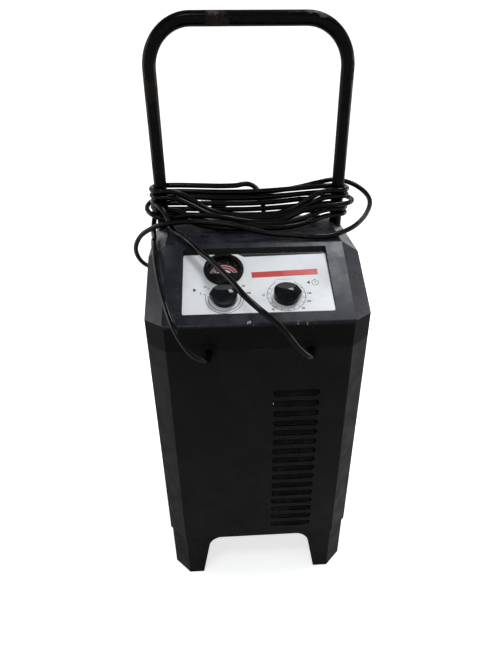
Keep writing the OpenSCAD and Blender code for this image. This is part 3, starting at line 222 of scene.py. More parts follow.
MAINS_LEAD = [(112, 250, 611), (86, 251, 611), (58, 252, 608), (32, 253, 605), (8, 256, 601),
              (-14, 258, 599)]

ROUTE_STEP = 3.0
FINE_STEPS = 12


def smooth(points, step):
    """Points every step millimetres along a centripetal spline through the given ones."""
    p = [Vector(q) for q in points]
    p = [2 * p[0] - p[1]] + p + [2 * p[-1] - p[-2]]
    fine = []
    for a, b, c, d in zip(p, p[1:], p[2:], p[3:]):
        t1 = math.sqrt((b - a).length)
        t2 = t1 + math.sqrt((c - b).length)
        t3 = t2 + math.sqrt((d - c).length)
        for i in range(FINE_STEPS):
            t = t1 + (t2 - t1) * i / FINE_STEPS
            q = a * ((t1 - t) / t1) + b * (t / t1)
            r = b * ((t2 - t) / (t2 - t1)) + c * ((t - t1) / (t2 - t1))
            s = c * ((t3 - t) / (t3 - t2)) + d * ((t - t2) / (t3 - t2))
            q = q * ((t2 - t) / t2) + r * (t / t2)
            s = r * ((t3 - t) / (t3 - t1)) + s * ((t - t1) / (t3 - t1))
            fine.append(q * ((t2 - t) / (t2 - t1)) + s * ((t - t1) / (t2 - t1)))
    fine.append(p[-2])
    out, left = [fine[0]], step
    for a, b in zip(fine, fine[1:]):
        gap = (b - a).length
        while gap > left:
            a = a + (b - a) * (left / gap)
            out.append(a)
            gap = (b - a).length
            left = step
        left -= gap
    out.append(fine[-1])
    return out


CORD_ROUND = 4  # Blender's bevel resolution: how round a cord's section is


def cord_curve(name, points, diameter):
    """A round cord along points in millimetres, as a curve of one open spline."""
    data = bpy.data.curves.new(name, "CURVE")
    data.dimensions = "3D"
    spline = data.splines.new("POLY")
    spline.points.add(len(points) - 1)
    for target, p in zip(spline.points, points):
        target.co = (*at(*p), 1.0)
        target.radius = diameter / 2 / MM
    spline.use_smooth = True
    data.bevel_depth = 1.0  # times each point's radius
    data.bevel_resolution = CORD_ROUND
    data.use_fill_caps = True
    obj = show(name, data)
    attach(obj, "case")
    return obj


# ---- Springs of the clamps, round their rivets ----

# The rivets, which the jaws turn on
RIVETS = {clamp: Vector(JOINT_AT[f"{clamp}_clamp_open"]) for clamp in ("negative", "positive")}
WIRE_D, COIL_R, COIL_TURNS, COIL_PITCH, SPRING_LEG = 1.9, 5.2, 4, 2.4, 30.0
COIL_STEP, WIRE_SIDES = 9, 8  # degrees from one ring of the wire's mesh to the next, and a ring's corners
GRIP_ANGLE = math.radians(17)
CLAMP_TURN = Matrix.Rotation(math.pi / 2 - GRIP_ANGLE, 3, "Y") @ Matrix.Rotation(math.pi / 2, 3, "X")


def spring_wire():
    """Centre line in the clamp's own frame, from the fixed handle round the rivet to the moving handle."""
    sweep = math.pi - 2 * GRIP_ANGLE + 2 * math.pi * COIL_TURNS
    count = math.ceil(math.degrees(sweep) / COIL_STEP)
    rise = COIL_PITCH * sweep / (2 * math.pi)
    coil = []
    for i in range(count + 1):
        a = math.pi / 2 - GRIP_ANGLE - sweep * i / count
        coil.append(Vector((COIL_R * math.cos(a), COIL_R * math.sin(a), rise / 2 - rise * i / count)))
    leg = Vector((-math.cos(GRIP_ANGLE), math.sin(GRIP_ANGLE), 0)) * SPRING_LEG
    return [coil[0] + leg] + coil + [coil[-1] + Vector((leg.x, -leg.y, 0))]


def clamp_spring(clamp):
    """A torsion spring round a clamp's rivet, with its legs along the clamp's two handles."""

    def placed(p):
        """A point of the clamp's own frame, in the row frame."""
        return RIVETS[clamp] + CLAMP_TURN @ p / MM

    bm = bmesh.new()
    wire = spring_wire()
    rings = []
    for i, p in enumerate(wire):
        along = (wire[min(i + 1, len(wire) - 1)] - wire[max(i - 1, 0)]).normalized()
        out = along.cross((0, 0, 1)).normalized()
        over = out.cross(along)
        corners = [2 * math.pi * k / WIRE_SIDES for k in range(WIRE_SIDES)]
        rings.append([bm.verts.new(placed(p + (out * math.cos(a) + over * math.sin(a)) * WIRE_D / 2))
                      for a in corners])
    for a, b in zip(rings, rings[1:]):
        for k in range(WIRE_SIDES):
            after = (k + 1) % WIRE_SIDES
            bm.faces.new((a[k], b[k], b[after], a[after]))
    bm.faces.new(rings[0])
    bm.faces.new(rings[-1][::-1])
    obj = solid(f"{clamp}_coil", bm)
    for polygon in obj.data.polygons:
        polygon.use_smooth = len(polygon.vertices) == 4
    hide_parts(f"{clamp}_spring")
    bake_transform(obj)
    return obj


springs = {clamp: clamp_spring(clamp) for clamp in RIVETS}


# ---- Cords ----


def lay_cord(name, points, diameter, solids):
    """A cord along its points, which leaves the case at its exit, in place of the solids that it hides."""
    route = smooth(points, ROUTE_STEP)
    obj = cord_curve(name, route, diameter)
    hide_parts(*solids)
    return obj


def lay_cable(clamp, points):
    """A charging cable, with its clamp at the far end."""
    return lay_cord(f"{clamp}_lead", points, CABLE_D, (f"{clamp}_cable", f"{clamp}_winding"))


negative_lead = lay_cable("negative", NEGATIVE_OUT + winding(*NEGATIVE_TURNS) + NEGATIVE_DROP)
positive_lead = lay_cable("positive", POSITIVE_OUT + winding(*POSITIVE_TURNS) + POSITIVE_DROP)
mains_lead = lay_cord("mains_lead", MAINS_OUT + mains_winding() + MAINS_LEAD, MAINS_D,
                      ("mains_cord", "mains_winding"))


# ---- Node materials ----

def new_material(name):
    """An empty material and its nodes."""
    mat = bpy.data.materials.new(name)
    mat.use_nodes = True
    return mat, mat.node_tree


class Look:
    """A Principled material and short calls that add nodes to it. Lengths are in millimetres."""

    def __init__(self, name, colour, rough, spec=0.5, metal=0.0, coat=0.0, coat_rough=0.1):
        self.mat, self.nt = new_material(name)
        self.bsdf = self.nt.nodes["Principled BSDF"]
        self.put(self.bsdf, "Metallic", metal)
        self.put(self.bsdf, "Specular IOR Level", spec)
        self.put(self.bsdf, "Coat Weight", coat)
        self.put(self.bsdf, "Coat Roughness", coat_rough)
        self.coords = self.add("ShaderNodeTexCoord").outputs["Object"]
        self.colour = (*colour, 1.0)
        self.rough = rough
        self.normal = None

    def add(self, kind, **values):
        """Adds a node and sets its properties."""
        n = self.nt.nodes.new(kind)
        for key, value in values.items():
            setattr(n, key, value)
        return n

    def put(self, n, socket, value):
        """Links or sets an input."""
        s = n.inputs[socket]
        if isinstance(value, bpy.types.NodeSocket):
            self.nt.links.new(value, s)
        else:
            s.default_value = value

    def times(self, a, b):
        """The product of two values."""
        n = self.add("ShaderNodeMath", operation="MULTIPLY")
        self.put(n, 0, a)
        self.put(n, 1, b)
        return n.outputs[0]

    def plus(self, a, b):
        """The sum of two values."""
        n = self.add("ShaderNodeMath", operation="ADD")
        self.put(n, 0, a)
        self.put(n, 1, b)
        return n.outputs[0]

    def span(self, value, low, high, to_low=0.0, to_high=1.0):
        """A smooth step from to_low at low to to_high at high."""
        n = self.add("ShaderNodeMapRange", interpolation_type="SMOOTHSTEP")
        for key, v in (("Value", value), ("From Min", low), ("From Max", high),
                       ("To Min", to_low), ("To Max", to_high)):
            self.put(n, key, v)
        return n.outputs[0]

    def scaled(self, sx, sy, sz, turn=(0, 0, 0)):
        """Coordinates that are scaled apart, for drawn-out noise."""
        n = self.add("ShaderNodeMapping")
        self.put(n, "Vector", self.coords)
        self.put(n, "Scale", (sx, sy, sz))
        self.put(n, "Rotation", turn)
        return n.outputs[0]

    def noise(self, scale, detail=2.0, rough=0.5, vector=None):
        """Noise from 0 to 1, with about scale waves to a metre."""
        n = self.add("ShaderNodeTexNoise")
        self.put(n, "Vector", vector or self.coords)
        self.put(n, "Scale", scale)
        self.put(n, "Detail", detail)
        self.put(n, "Roughness", rough)
        return n.outputs["Fac"]

    def cells(self, scale):
        """Distance from the nearest of scattered points, about scale of them to a metre."""
        n = self.add("ShaderNodeTexVoronoi", feature="F1")
        self.put(n, "Vector", self.coords)
        self.put(n, "Scale", scale)
        return n.outputs["Distance"]

    def spot(self, centre, radius):
        """1 at a point, falling to 0 at the radius."""
        n = self.add("ShaderNodeVectorMath", operation="DISTANCE")
        self.put(n, 0, self.coords)
        self.put(n, 1, at(*centre))
        return self.span(n.outputs["Value"], 0.0, radius / MM, 1.0, 0.0)

    def height(self, value):
        """The z of a vector."""
        s = self.add("ShaderNodeSeparateXYZ")
        self.put(s, 0, value)
        return s.outputs["Z"]

    def facing_up(self):
        """1 on what faces up, 0 on walls, -1 on what faces down."""
        return self.height(self.add("ShaderNodeNewGeometry").outputs["Normal"])

    def rounded(self, radius):
        """The normal that edges would have if they were rounded."""
        b = self.add("ShaderNodeBevel", samples=4)
        self.put(b, "Radius", radius / MM)
        return b.outputs[0]

    def edges(self, radius):
        """1 on sharp edges, from the difference between the rounded and the real normal."""
        d = self.add("ShaderNodeVectorMath", operation="DOT_PRODUCT")
        self.put(d, 0, self.rounded(radius))
        self.put(d, 1, self.add("ShaderNodeNewGeometry").outputs["Normal"])
        return self.span(d.outputs["Value"], 0.97, 0.8)

    def tint(self, factor, colour):
        """Mixes a colour over what is there."""
        n = self.add("ShaderNodeMix", data_type="RGBA")
        self.put(n, 0, factor)
        self.put(n, 6, self.colour)
        self.put(n, 7, (*colour, 1.0))
        self.colour = n.outputs[2]

    def roughen(self, factor, to):
        """Mixes a roughness over what is there."""
        n = self.add("ShaderNodeMix", data_type="FLOAT")
        self.put(n, 0, factor)
        self.put(n, 2, self.rough)
        self.put(n, 3, to)
        self.rough = n.outputs[0]

    def bump(self, height, distance, strength):
        """Adds relief of the given depth."""
        n = self.add("ShaderNodeBump")
        self.put(n, "Height", height)
        self.put(n, "Distance", distance / MM)
        self.put(n, "Strength", strength)
        if self.normal is not None:
            self.put(n, "Normal", self.normal)
        self.normal = n.outputs[0]

    def done(self):
        """Connects what was built and gives the material."""
        self.put(self.bsdf, "Base Color", self.colour)
        self.put(self.bsdf, "Roughness", self.rough)
        if self.normal is not None:
            self.put(self.bsdf, "Normal", self.normal)
        return self.mat


DUST, SPECK, WORN_EDGE = (0.30, 0.29, 0.27), (0.42, 0.41, 0.38), (0.16, 0.16, 0.165)
HAIRLINE, SCUFF, SCRATCH = (0.2, 0.2, 0.2), (0.62, 0.61, 0.58), (0.25, 0.25, 0.26)
HANDLING, TARNISH = (0.14, 0.135, 0.125), (0.35, 0.33, 0.30)
FILM_SHADE, FILM_SMUDGE = (0.55, 0.58, 0.60), (0.52, 0.53, 0.53)
FILM_SPECK, FILM_EDGE = (0.2, 0.19, 0.18), (0.35, 0.36, 0.37)


def moulded(name, colour, rough, spec, grain=1.0, dust=0.35, wear=0.5, edge=0.6, scuffs=(), painted_top_sheen=None,
            side_rough=None):
    """Moulded plastic: fine spark grain, soft mottling, dust on what faces up, pale worn edges, and a painted
    sheen on what faces up where a top colour is given.

    Edge is their rounding in millimetres, the top colour a painted sheen that lightens what faces up as if
    lit from above, side_rough the walls' roughness.
    """
    m = Look(name, colour, rough, spec)
    m.normal = m.rounded(edge)
    pale = tuple(min(1.0, c * 1.7 + 0.006) for c in colour)
    m.tint(m.span(m.noise(14.0, 3.0), 0.35, 0.75, 0.0, 0.25), pale)
    m.roughen(m.span(m.noise(45.0, 3.0), 0.35, 0.7), min(rough + 0.12, 1.0))
    if side_rough:
        m.roughen(m.span(m.facing_up(), 0.12, 0.5, 1.0, 0.0), side_rough)
    # Painted light: what faces up is tinted lighter and bluer, a sheen painted in place of the top light on
    # the slopes.
    if painted_top_sheen:
        m.tint(m.span(m.facing_up(), 0.15, 0.85), painted_top_sheen)
    dusty = m.times(m.span(m.facing_up(), 0.2, 0.95), m.span(m.noise(22.0, 4.0, 0.65), 0.42, 0.75))
    m.tint(m.times(dusty, 0.22 * dust), DUST)
    specks = m.times(m.span(m.cells(260.0), 0.16, 0.08), m.span(m.noise(30.0, 2.0), 0.5, 0.62))
    lying = m.span(m.facing_up(), -0.1, 0.4, 0.15 * dust, 0.8 * dust)
    m.tint(m.times(specks, lying), SPECK)
    worn = m.times(m.edges(1.1), m.span(m.noise(60.0, 4.0), 0.4, 0.7))
    m.tint(m.times(worn, 0.35 * wear), WORN_EDGE)
    hair = m.noise(1.0, 2.0, 0.5, m.scaled(900, 60, 140, (0.3, 0.5, 0.9)))
    hairline = m.times(m.span(hair, 0.66, 0.72), m.span(m.noise(9.0), 0.5, 0.62))
    m.tint(m.times(hairline, 0.12 * (wear + 0.2)), HAIRLINE)
    for centre, radius, amount, scale in scuffs:
        ragged = m.plus(m.spot(centre, radius), m.span(m.noise(scale, 4.0, 0.7), 0.3, 0.7, -0.45, 0.45))
        m.tint(m.times(m.span(ragged, 0.62, 0.78), amount), SCUFF)
    m.bump(m.noise(900.0, 3.0, 0.6), 0.05 * grain, 0.7)
    return m.done()


def enamel(name, colour, chips):
    """Gloss paint on steel: cloudy gloss, fine scratches, orange peel, and chips at the given places."""
    m = Look(name, colour, 0.2, spec=0.04, coat=0.025, coat_rough=0.08)
    m.tint(m.span(m.noise(30.0, 3.0), 0.4, 0.7, 0.0, 0.4), tuple(c * 2 + 0.001 for c in colour))
    m.roughen(m.span(m.noise(70.0, 4.0), 0.45, 0.7), 0.42)
    flake = m.span(m.noise(190.0, 4.0, 0.7), 0.3, 0.7, 0.2, 1.8)
    for centre, radius, amount, bare in chips:
        place = m.span(m.times(m.spot(centre, radius), flake), 0.36, 0.56)
        m.tint(m.times(place, amount), bare)
        m.roughen(place, 0.8)
    line = m.span(m.noise(1.0, 2.0, 0.5, m.scaled(1500, 1500, 40)), 0.68, 0.73)
    m.tint(m.times(line, 0.12), SCRATCH)
    m.bump(m.noise(220.0, 2.0), 0.03, 0.6)
    return m.done()


def metal(name, colour, rough, brush=(1.0, 1.0, 1.0), stain=TARNISH, amount=0.35):
    """Bare or plated metal with brush lines, clouding and a little tarnish."""
    m = Look(name, colour, rough, metal=1.0)
    m.normal = m.rounded(0.35)
    m.tint(m.span(m.noise(55.0, 4.0, 0.6), 0.45, 0.75, 0.0, amount), stain)
    lines = m.noise(260.0, 3.0, 0.6, m.scaled(*brush))
    m.roughen(m.span(lines, 0.3, 0.7), min(rough + 0.2, 0.9))
    m.bump(lines, 0.02, 0.5)
    return m.done()


def jacket(name, colour, rough):
    """Flexible cord jacket: slight gloss, handling marks and a faintly uneven surface."""
    m = Look(name, colour, rough, 0.1)
    m.tint(m.span(m.noise(35.0, 3.0), 0.4, 0.75, 0.0, 0.5), tuple(c * 2.2 + 0.002 for c in colour))
    m.tint(m.times(m.span(m.noise(160.0, 4.0, 0.65), 0.6, 0.72), 0.07), HANDLING)
    m.roughen(m.span(m.noise(80.0, 3.0), 0.4, 0.7), rough + 0.1)
    m.bump(m.noise(75.0, 2.0), 0.25, 0.6)
    m.bump(m.noise(700.0, 2.0), 0.03, 0.5)
    return m.done()


def printed(name, colour, spec=0.3):
    """Printed ink or paint, with slight mottling and rubbed specks."""
    m = Look(name, colour, 0.35, spec)
    rubbed = tuple(min(1, c * 1.5 + 0.08) for c in colour)
    m.tint(m.span(m.noise(90.0, 3.0), 0.4, 0.7, 0.0, 0.25), tuple(c * 0.82 for c in colour))
    m.tint(m.times(m.span(m.noise(800.0, 3.0), 0.62, 0.68), 0.25), rubbed)
    m.roughen(m.span(m.noise(40.0), 0.4, 0.7), 0.5)
    return m.done()


SILVER_FROM, SILVER_TO = 0.535, 0.568  # heights in metres between which the panel turns silvery


def panel_film():
    """Satin white film of the control panel, silvery towards the top, with smudges and dust."""
    m = Look("panel_print", (0.79, 0.80, 0.81), 0.34, 0.3)
    m.tint(m.span(m.height(m.coords), SILVER_FROM, SILVER_TO, 0.0, 0.35), FILM_SHADE)
    m.tint(m.span(m.noise(30.0, 4.0, 0.6), 0.45, 0.75, 0.0, 0.4), FILM_SMUDGE)
    m.tint(m.times(m.span(m.cells(300.0), 0.1, 0.04), m.span(m.noise(40.0), 0.56, 0.62)), FILM_SPECK)
    m.tint(m.times(m.edges(1.0), 0.6), FILM_EDGE)
    m.roughen(m.span(m.noise(18.0, 3.0), 0.4, 0.65), 0.5)
    m.bump(m.noise(500.0, 2.0), 0.01, 0.4)
    return m.done()


def node(nt, kind, *inputs, out=0, **values):
    """Adds a node, links or sets its first inputs (None leaves one alone) and gives an output."""
    n = nt.nodes.new(kind)
    for key, value in values.items():
        setattr(n, key, value)
    for i, value in enumerate(inputs):
        if isinstance(value, bpy.types.NodeSocket):
            nt.links.new(value, n.inputs[i])
        elif value is not None:
            n.inputs[i].default_value = value
    return n.outputs[out]


def clear_lens():
    """Clear plastic window: see-through, with the slightly uneven gloss of its surface."""
    mat, nt = new_material("lens")
    nt.nodes.remove(nt.nodes["Principled BSDF"])
    clear = node(nt, "ShaderNodeBsdfTransparent", (0.96, 0.97, 0.97, 1.0))
    uneven = node(nt, "ShaderNodeTexNoise", node(nt, "ShaderNodeTexCoord", out="Object"), None, 120.0)
    rough = node(nt, "ShaderNodeMapRange", uneven, 0.0, 1.0, 0.02, 0.14)
    gloss = node(nt, "ShaderNodeBsdfGlossy", None, rough)
    surface = node(nt, "ShaderNodeMixShader", node(nt, "ShaderNodeFresnel", 1.12), clear, gloss)
    nt.links.new(surface, nt.nodes["Material Output"].inputs["Surface"])
    return mat


# Scuffs on the head's lip: place, radius, amount and the scale of their raggedness
LIP_SCUFFS = [((-14, 5, 511.5), 7, 0.8, 260), ((-8, 3, 511), 4, 0.7, 500), ((-20, 7, 512.5), 3, 0.6, 600),
              ((22, 3, 511), 5, 0.9, 420), ((26, 6, 512), 3, 0.6, 600), ((50, 3, 510.8), 5, 0.9, 360),
              ((56, 5, 511.5), 3, 0.8, 600), ((62, 2, 510.5), 4, 0.8, 420), ((96, 8, 513), 4, 0.6, 420),
              ((-60, 8, 513), 3, 0.4, 500), ((-130, 62, 541), 5, 0.4, 300), ((30, 1, 505), 4, 0.3, 500)]
# Chips in the handle's paint: place, radius, amount and the colour below
HANDLE_CHIPS = [
    ((-42, 216, 852), 26, 0.75, (0.030, 0.018, 0.017)), ((-45, 222, 863), 19, 0.8, (0.070, 0.053, 0.049)),
    ((-141, 218, 768), 25, 0.55, (0.034, 0.019, 0.019)), ((-138, 218, 664), 24, 0.35, (0.024, 0.015, 0.015)),
    ((98, 216, 860), 13, 0.7, (0.09, 0.088, 0.085)), ((80, 218, 862), 9, 0.8, (0.10, 0.098, 0.095)),
    ((146, 224, 790), 26, 0.4, (0.024, 0.015, 0.014)), ((70, 240, 855), 30, 0.6, (0.045, 0.028, 0.024)),
    ((-138, 240, 700), 34, 0.6, (0.045, 0.028, 0.024))]

LOOKS = {
    "shell": moulded("shell_plastic", (0.005, 0.005, 0.0053), 0.46, 0.06),
    "base": moulded("base_plastic", (0.004, 0.004, 0.0043), 0.5, 0.05, wear=0.8),
    # The head's top colour is painted light: a bluish sheen on its upward slopes, lighter than its walls.
    "head": moulded("head_plastic", (0.0025, 0.0025, 0.0028), 0.26, 0.17, dust=0.4, scuffs=LIP_SCUFFS,
                    painted_top_sheen=(0.010, 0.0106, 0.017), side_rough=0.95),
    "rear": moulded("rear_plastic", (0.010, 0.010, 0.0105), 0.55, 0.16),
    "knob": moulded("knob_plastic", (0.0016, 0.0016, 0.0022), 0.09, 0.17, grain=0.3, dust=0.1, edge=0.5),
    "bezel": moulded("meter_plastic", (0.003, 0.003, 0.0033), 0.2, 0.1, grain=0.3, dust=0.2, edge=0.4),
    "bushing": moulded("bushing_plastic", (0.003, 0.003, 0.0035), 0.6, 0.05, grain=0.6),
    "plug": moulded("plug_plastic", (0.009, 0.009, 0.010), 0.36, 0.25, grain=0.8, edge=1.2),
    "handle": enamel("handle_paint", (0.0013, 0.0013, 0.0016), HANDLE_CHIPS),
    "zinc": metal("zinc", (0.62, 0.62, 0.63), 0.32),
    "clamp": metal("clamp_steel", (0.60, 0.59, 0.57), 0.34, brush=(1.0, 1.0, 6.0),
                   stain=(0.34, 0.27, 0.2), amount=0.45),
    "spring": metal("spring_steel", (0.5, 0.5, 0.5), 0.3),
    "blade": metal("blade_metal", (0.75, 0.70, 0.58), 0.25, brush=(6.0, 1.0, 1.0)),
    "aluminium": metal("aluminium", (0.72, 0.73, 0.74), 0.38, brush=(1.0, 8.0, 1.0)),
    "core": metal("core_steel", (0.22, 0.21, 0.20), 0.5, brush=(1.0, 40.0, 1.0),
                  stain=(0.12, 0.09, 0.07), amount=0.6),
    "copper": metal("copper", (0.40, 0.17, 0.08), 0.42, brush=(1.0, 1.0, 12.0),
                    stain=(0.16, 0.06, 0.03), amount=0.6),
    "rim": moulded("rim_plastic", (0.45, 0.46, 0.48), 0.4, 0.5, dust=0.8),
    "tyre": moulded("tyre", (0.020, 0.020, 0.020), 0.7, 0.3, grain=2.0, dust=1.0, wear=1.0),
    "control": moulded("control_bodies", (0.20, 0.17, 0.13), 0.5, 0.4),
    "cable": jacket("cable", (0.0014, 0.0014, 0.0019), 0.13),
    "mains": jacket("mains_jacket", (0.0013, 0.0013, 0.0015), 0.15),
    "black_grip": moulded("black_grip", (0.014, 0.014, 0.015), 0.36, 0.45, grain=0.8, edge=0.8),
    "red_grip": moulded("red_grip", (0.42, 0.012, 0.010), 0.36, 0.45, grain=0.8, edge=0.8),
    "black_ink": printed("black_ink", (0.010, 0.010, 0.011), spec=0.12),
    "grey_ink": printed("grey_ink", (0.30, 0.31, 0.33)),
    "red_ink": printed("red_ink", (0.55, 0.02, 0.018)),
    "white_ink": printed("white_ink", (0.78, 0.79, 0.80)),
    "dial": printed("dial_print", (0.006, 0.006, 0.007), spec=0.1),
    "dial_pale": printed("dial_pale", (0.62, 0.50, 0.50)),
    "dial_grey": printed("dial_grey", (0.20, 0.20, 0.21)),
    "needle": printed("needle_paint", (0.55, 0.55, 0.52)),
    "panel": panel_film(),
    "lens": clear_lens(),
}

WEARS = {
    "shell": ("front_shell",), "base": ("base_moulding",), "head": ("head_cover",), "rear": ("rear_panel",),
    "panel": ("panel_label",), "bezel": ("meter_case",), "dial": ("meter_dial",), "lens": ("meter_lens",),
    "needle": ("meter_needle",), "control": ("rate_switch", "timer_body"),
    "zinc": ("rate_shaft", "timer_shaft", "control_nuts", "handle_brackets", "handle_bolts", "axle",
             "axle_caps", "rectifier_diodes", "head_screws", "panel_screws", "base_screws", "negative_rivet",
             "positive_rivet"),
    "knob": ("rate_knob", "timer_knob", "circuit_breaker"), "handle": ("handle_tube",),
    "rim": ("left_rim", "right_rim"), "tyre": ("left_tyre", "right_tyre"),
    "core": ("transformer_core", "transformer_feet", "transformer_bolts"),
    "copper": ("transformer_windings",), "aluminium": ("heat_sink",),
    "bushing": ("front_bushings", "mains_relief"), "plug": ("mains_plug",), "blade": ("plug_blades",),
    "clamp": ("negative_fixed_jaw", "negative_moving_jaw", "positive_fixed_jaw", "positive_moving_jaw"),
    "spring": ("negative_spring", "positive_spring"),
    "black_grip": ("negative_fixed_grip", "negative_moving_grip"),
    "red_grip": ("positive_fixed_grip", "positive_moving_grip"),
    "cable": ("negative_cable", "negative_winding", "positive_cable", "positive_winding"),
    "mains": ("mains_cord", "mains_winding"),
}


def wear_look(obj, look):
    """Gives an object one of the looks as its only material."""
    obj.data.materials.clear()
    obj.data.materials.append(LOOKS[look])


for look, names in WEARS.items():
    for name in names:
        wear_look(NODES[name], look)
wear_look(negative_lead, "cable")
wear_look(positive_lead, "cable")
wear_look(mains_lead, "mains")
for spring in springs.values():
    wear_look(spring, "spring")


# ---- Print on the panel and on the meter's dial, in millimetres ----

TILT = math.radians(25.4)
LABEL_Y, LABEL_Z = 17.6, 520.2  # the panel's lower edge
# Thickness of the print, half that of the numbers, and how far their outlines are widened
PRINT_H, DIAL_PRINT_H, BAND_H = 0.06, 0.05, 0.08
NUMBER_H, NUMBER_BOLD = 0.03, 0.13
NUMBER_STEPS = 3  # pieces that each curve of a number is drawn with
# The needle and the knobs turn on axes that stand on the panel, at these x
METER_X, RATE_X, TIMER_X = (JOINT_AT[name][0] * MM for name in
                            ("meter_needle_swing", "rate_knob_turn", "timer_knob_turn"))


def on_panel(x, v, n=0.0):
    """A point of the sloping panel: x across, v up the slope, n out of it."""
    return at(x, LABEL_Y + v * math.cos(TILT) - n * math.sin(TILT),
              LABEL_Z + v * math.sin(TILT) + n * math.cos(TILT))


def print_piece(name, faces, look, low, high):
    """Flat print from outlines of (x, v) points, as thin closed solids."""
    bm = bmesh.new()
    for outline in faces:
        top = [bm.verts.new(on_panel(x, v, high)) for x, v in outline]
        bottom = [bm.verts.new(on_panel(x, v, low)) for x, v in outline]
        bm.faces.new(top)
        bm.faces.new(bottom[::-1])
        for i, a in enumerate(top):
            j = (i + 1) % len(top)
            bm.faces.new((a, bottom[i], bottom[j], top[j]))
    obj = solid(name, bm)
    wear_look(obj, look)
    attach(obj, "case")


def arc_band(centre, r0, r1, a0, a1, step=4.0):
    """Outline of a curved band between two radii, from angle a0 to a1 in degrees."""
    count = max(2, math.ceil(abs(a1 - a0) / step))
    angles = [math.radians(a0 + (a1 - a0) * i / count) for i in range(count + 1)]
    outer = [(centre[0] + r1 * math.cos(a), centre[1] + r1 * math.sin(a)) for a in angles]
    inner = [(centre[0] + r0 * math.cos(a), centre[1] + r0 * math.sin(a)) for a in angles]
    return outer + inner[::-1]


def tick(centre, r0, r1, angle, width):
    """Outline of a straight mark between two radii, at an angle in degrees."""
    a = math.radians(angle)
    ux, uy = math.cos(a), math.sin(a)
    px, py = -uy * width / 2, ux * width / 2
    x, y = centre
    return [(x + ux * r0 + px, y + uy * r0 + py), (x + ux * r0 - px, y + uy * r0 - py),
            (x + ux * r1 - px, y + uy * r1 - py), (x + ux * r1 + px, y + uy * r1 + py)]


def numeral(name, text, centre, size, look, n=0.0, turn=0.0):
    """A plain number on a dial, as a flat mesh, raised by n and turned by an angle in radians."""
    data = bpy.data.curves.new(name, "FONT")
    data.body = text
    data.size = size / MM
    data.align_x = "CENTER"
    data.align_y = "CENTER"
    data.extrude = NUMBER_H / MM
    data.offset = NUMBER_BOLD / MM
    data.resolution_u = NUMBER_STEPS
    made = bpy.data.objects.new(name + ".text", data)
    mesh = bpy.data.meshes.new_from_object(made)
    bpy.data.objects.remove(made)
    across = Vector((1, 0, 0))
    upward = Vector((0, math.cos(TILT), math.sin(TILT)))
    out = across.cross(upward)
    mesh.transform(Matrix.Translation(on_panel(*centre, n + NUMBER_H))
                   @ Matrix((across, upward, out)).transposed().to_4x4() @ Matrix.Rotation(turn, 4, "Z"))
    obj = show(name, mesh)
    wear_look(obj, look)
    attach(obj, "case")


def polar(centre, across, upward, angle):
    """A point on an ellipse with the given half axes, at an angle in degrees."""
    a = math.radians(angle)
    return (centre[0] + across * math.cos(a), centre[1] + upward * math.sin(a))


def panel_print(name, faces, look="black_ink"):
    """Print on the panel's film."""
    print_piece(name, faces, look, 0.0, PRINT_H)


# A ring's inner and outer radius with its first and last angle, and a tick's two radii
UPRIGHT = 90
RATE_RING, RATE_LINE, RATE_GREY = (RATE_X, 26.4), (25.3, 25.9, 166, 374), (21.2, 22.6, 170, 370)
RATE_TICK, RATE_TICK_W, RATE_TICK_ANGLES = (25.8, 29.5), 0.7, (166, 142, 38, 14)
RATE_DOT, RATE_DOT_LEN, RATE_DOT_W = (-86.5, 40.5), 1.2, 0.6
panel_print("rate_ring_line", [arc_band(RATE_RING, *RATE_LINE)])
panel_print("rate_ring_grey", [arc_band(RATE_RING, *RATE_GREY)], "grey_ink")
panel_print("rate_ticks", [tick(RATE_RING, *RATE_TICK, a, RATE_TICK_W) for a in RATE_TICK_ANGLES]
            + [tick(RATE_DOT, 0, RATE_DOT_LEN, UPRIGHT, RATE_DOT_W)])

# The same round the timer's knob, with ticks at both ends of the line and a row of dashes above it
TIMER_RING, TIMER_LINE, TIMER_GREY = (TIMER_X, 27.8), (25.8, 26.4, 120, 420), (20.9, 21.4, 130, 410)
TIMER_TICK, TIMER_TICK_W, TIMER_TICK_ANGLES = (22.4, 26.0), 0.6, range(150, 391, 20)
END_TICK, END_TICK_W, END_TICK_ANGLES = (26.4, 28.6), 0.5, (120, 60)
DASHES, DASH_PITCH, DASH_X0, DASH_X1, DASH_V0, DASH_V1 = 9, 2.6, 27.5, 29.0, 55.6, 56.1
dashes = [[(DASH_X0 + step, DASH_V0), (DASH_X1 + step, DASH_V0), (DASH_X1 + step, DASH_V1),
           (DASH_X0 + step, DASH_V1)] for step in (DASH_PITCH * i for i in range(DASHES))]
panel_print("timer_ring_line", [arc_band(TIMER_RING, *TIMER_LINE)])
panel_print("timer_ring_grey", [arc_band(TIMER_RING, *TIMER_GREY)], "grey_ink")
panel_print("timer_ticks", [tick(TIMER_RING, *TIMER_TICK, a, TIMER_TICK_W) for a in TIMER_TICK_ANGLES]
            + [tick(TIMER_RING, *END_TICK, a, END_TICK_W) for a in END_TICK_ANGLES] + dashes)

# The red band, the black strip along the top, two arrows and a small clock
WARNING_BAND = [(-6.8, 70.1), (-6.4, 59.8), (85.8, 63.0), (85.8, 73.3)]
TOP_STRIP = [(-24.5, 104.4), (-15.6, 99.0), (101.3, 101.6), (101.3, 103.0), (99.9, 104.4)]
RATE_ARROW = [(-87.0, 44.2), (-87.0, 38.0), (-82.6, 41.1)]
CLOCK_ARROW = [(72.6, 46.2), (72.6, 52.2), (68.6, 49.2)]
CLOCK, CLOCK_LINE, CLOCK_STEP = (80.2, 48.8), (4.3, 4.9, 0, 355), 12
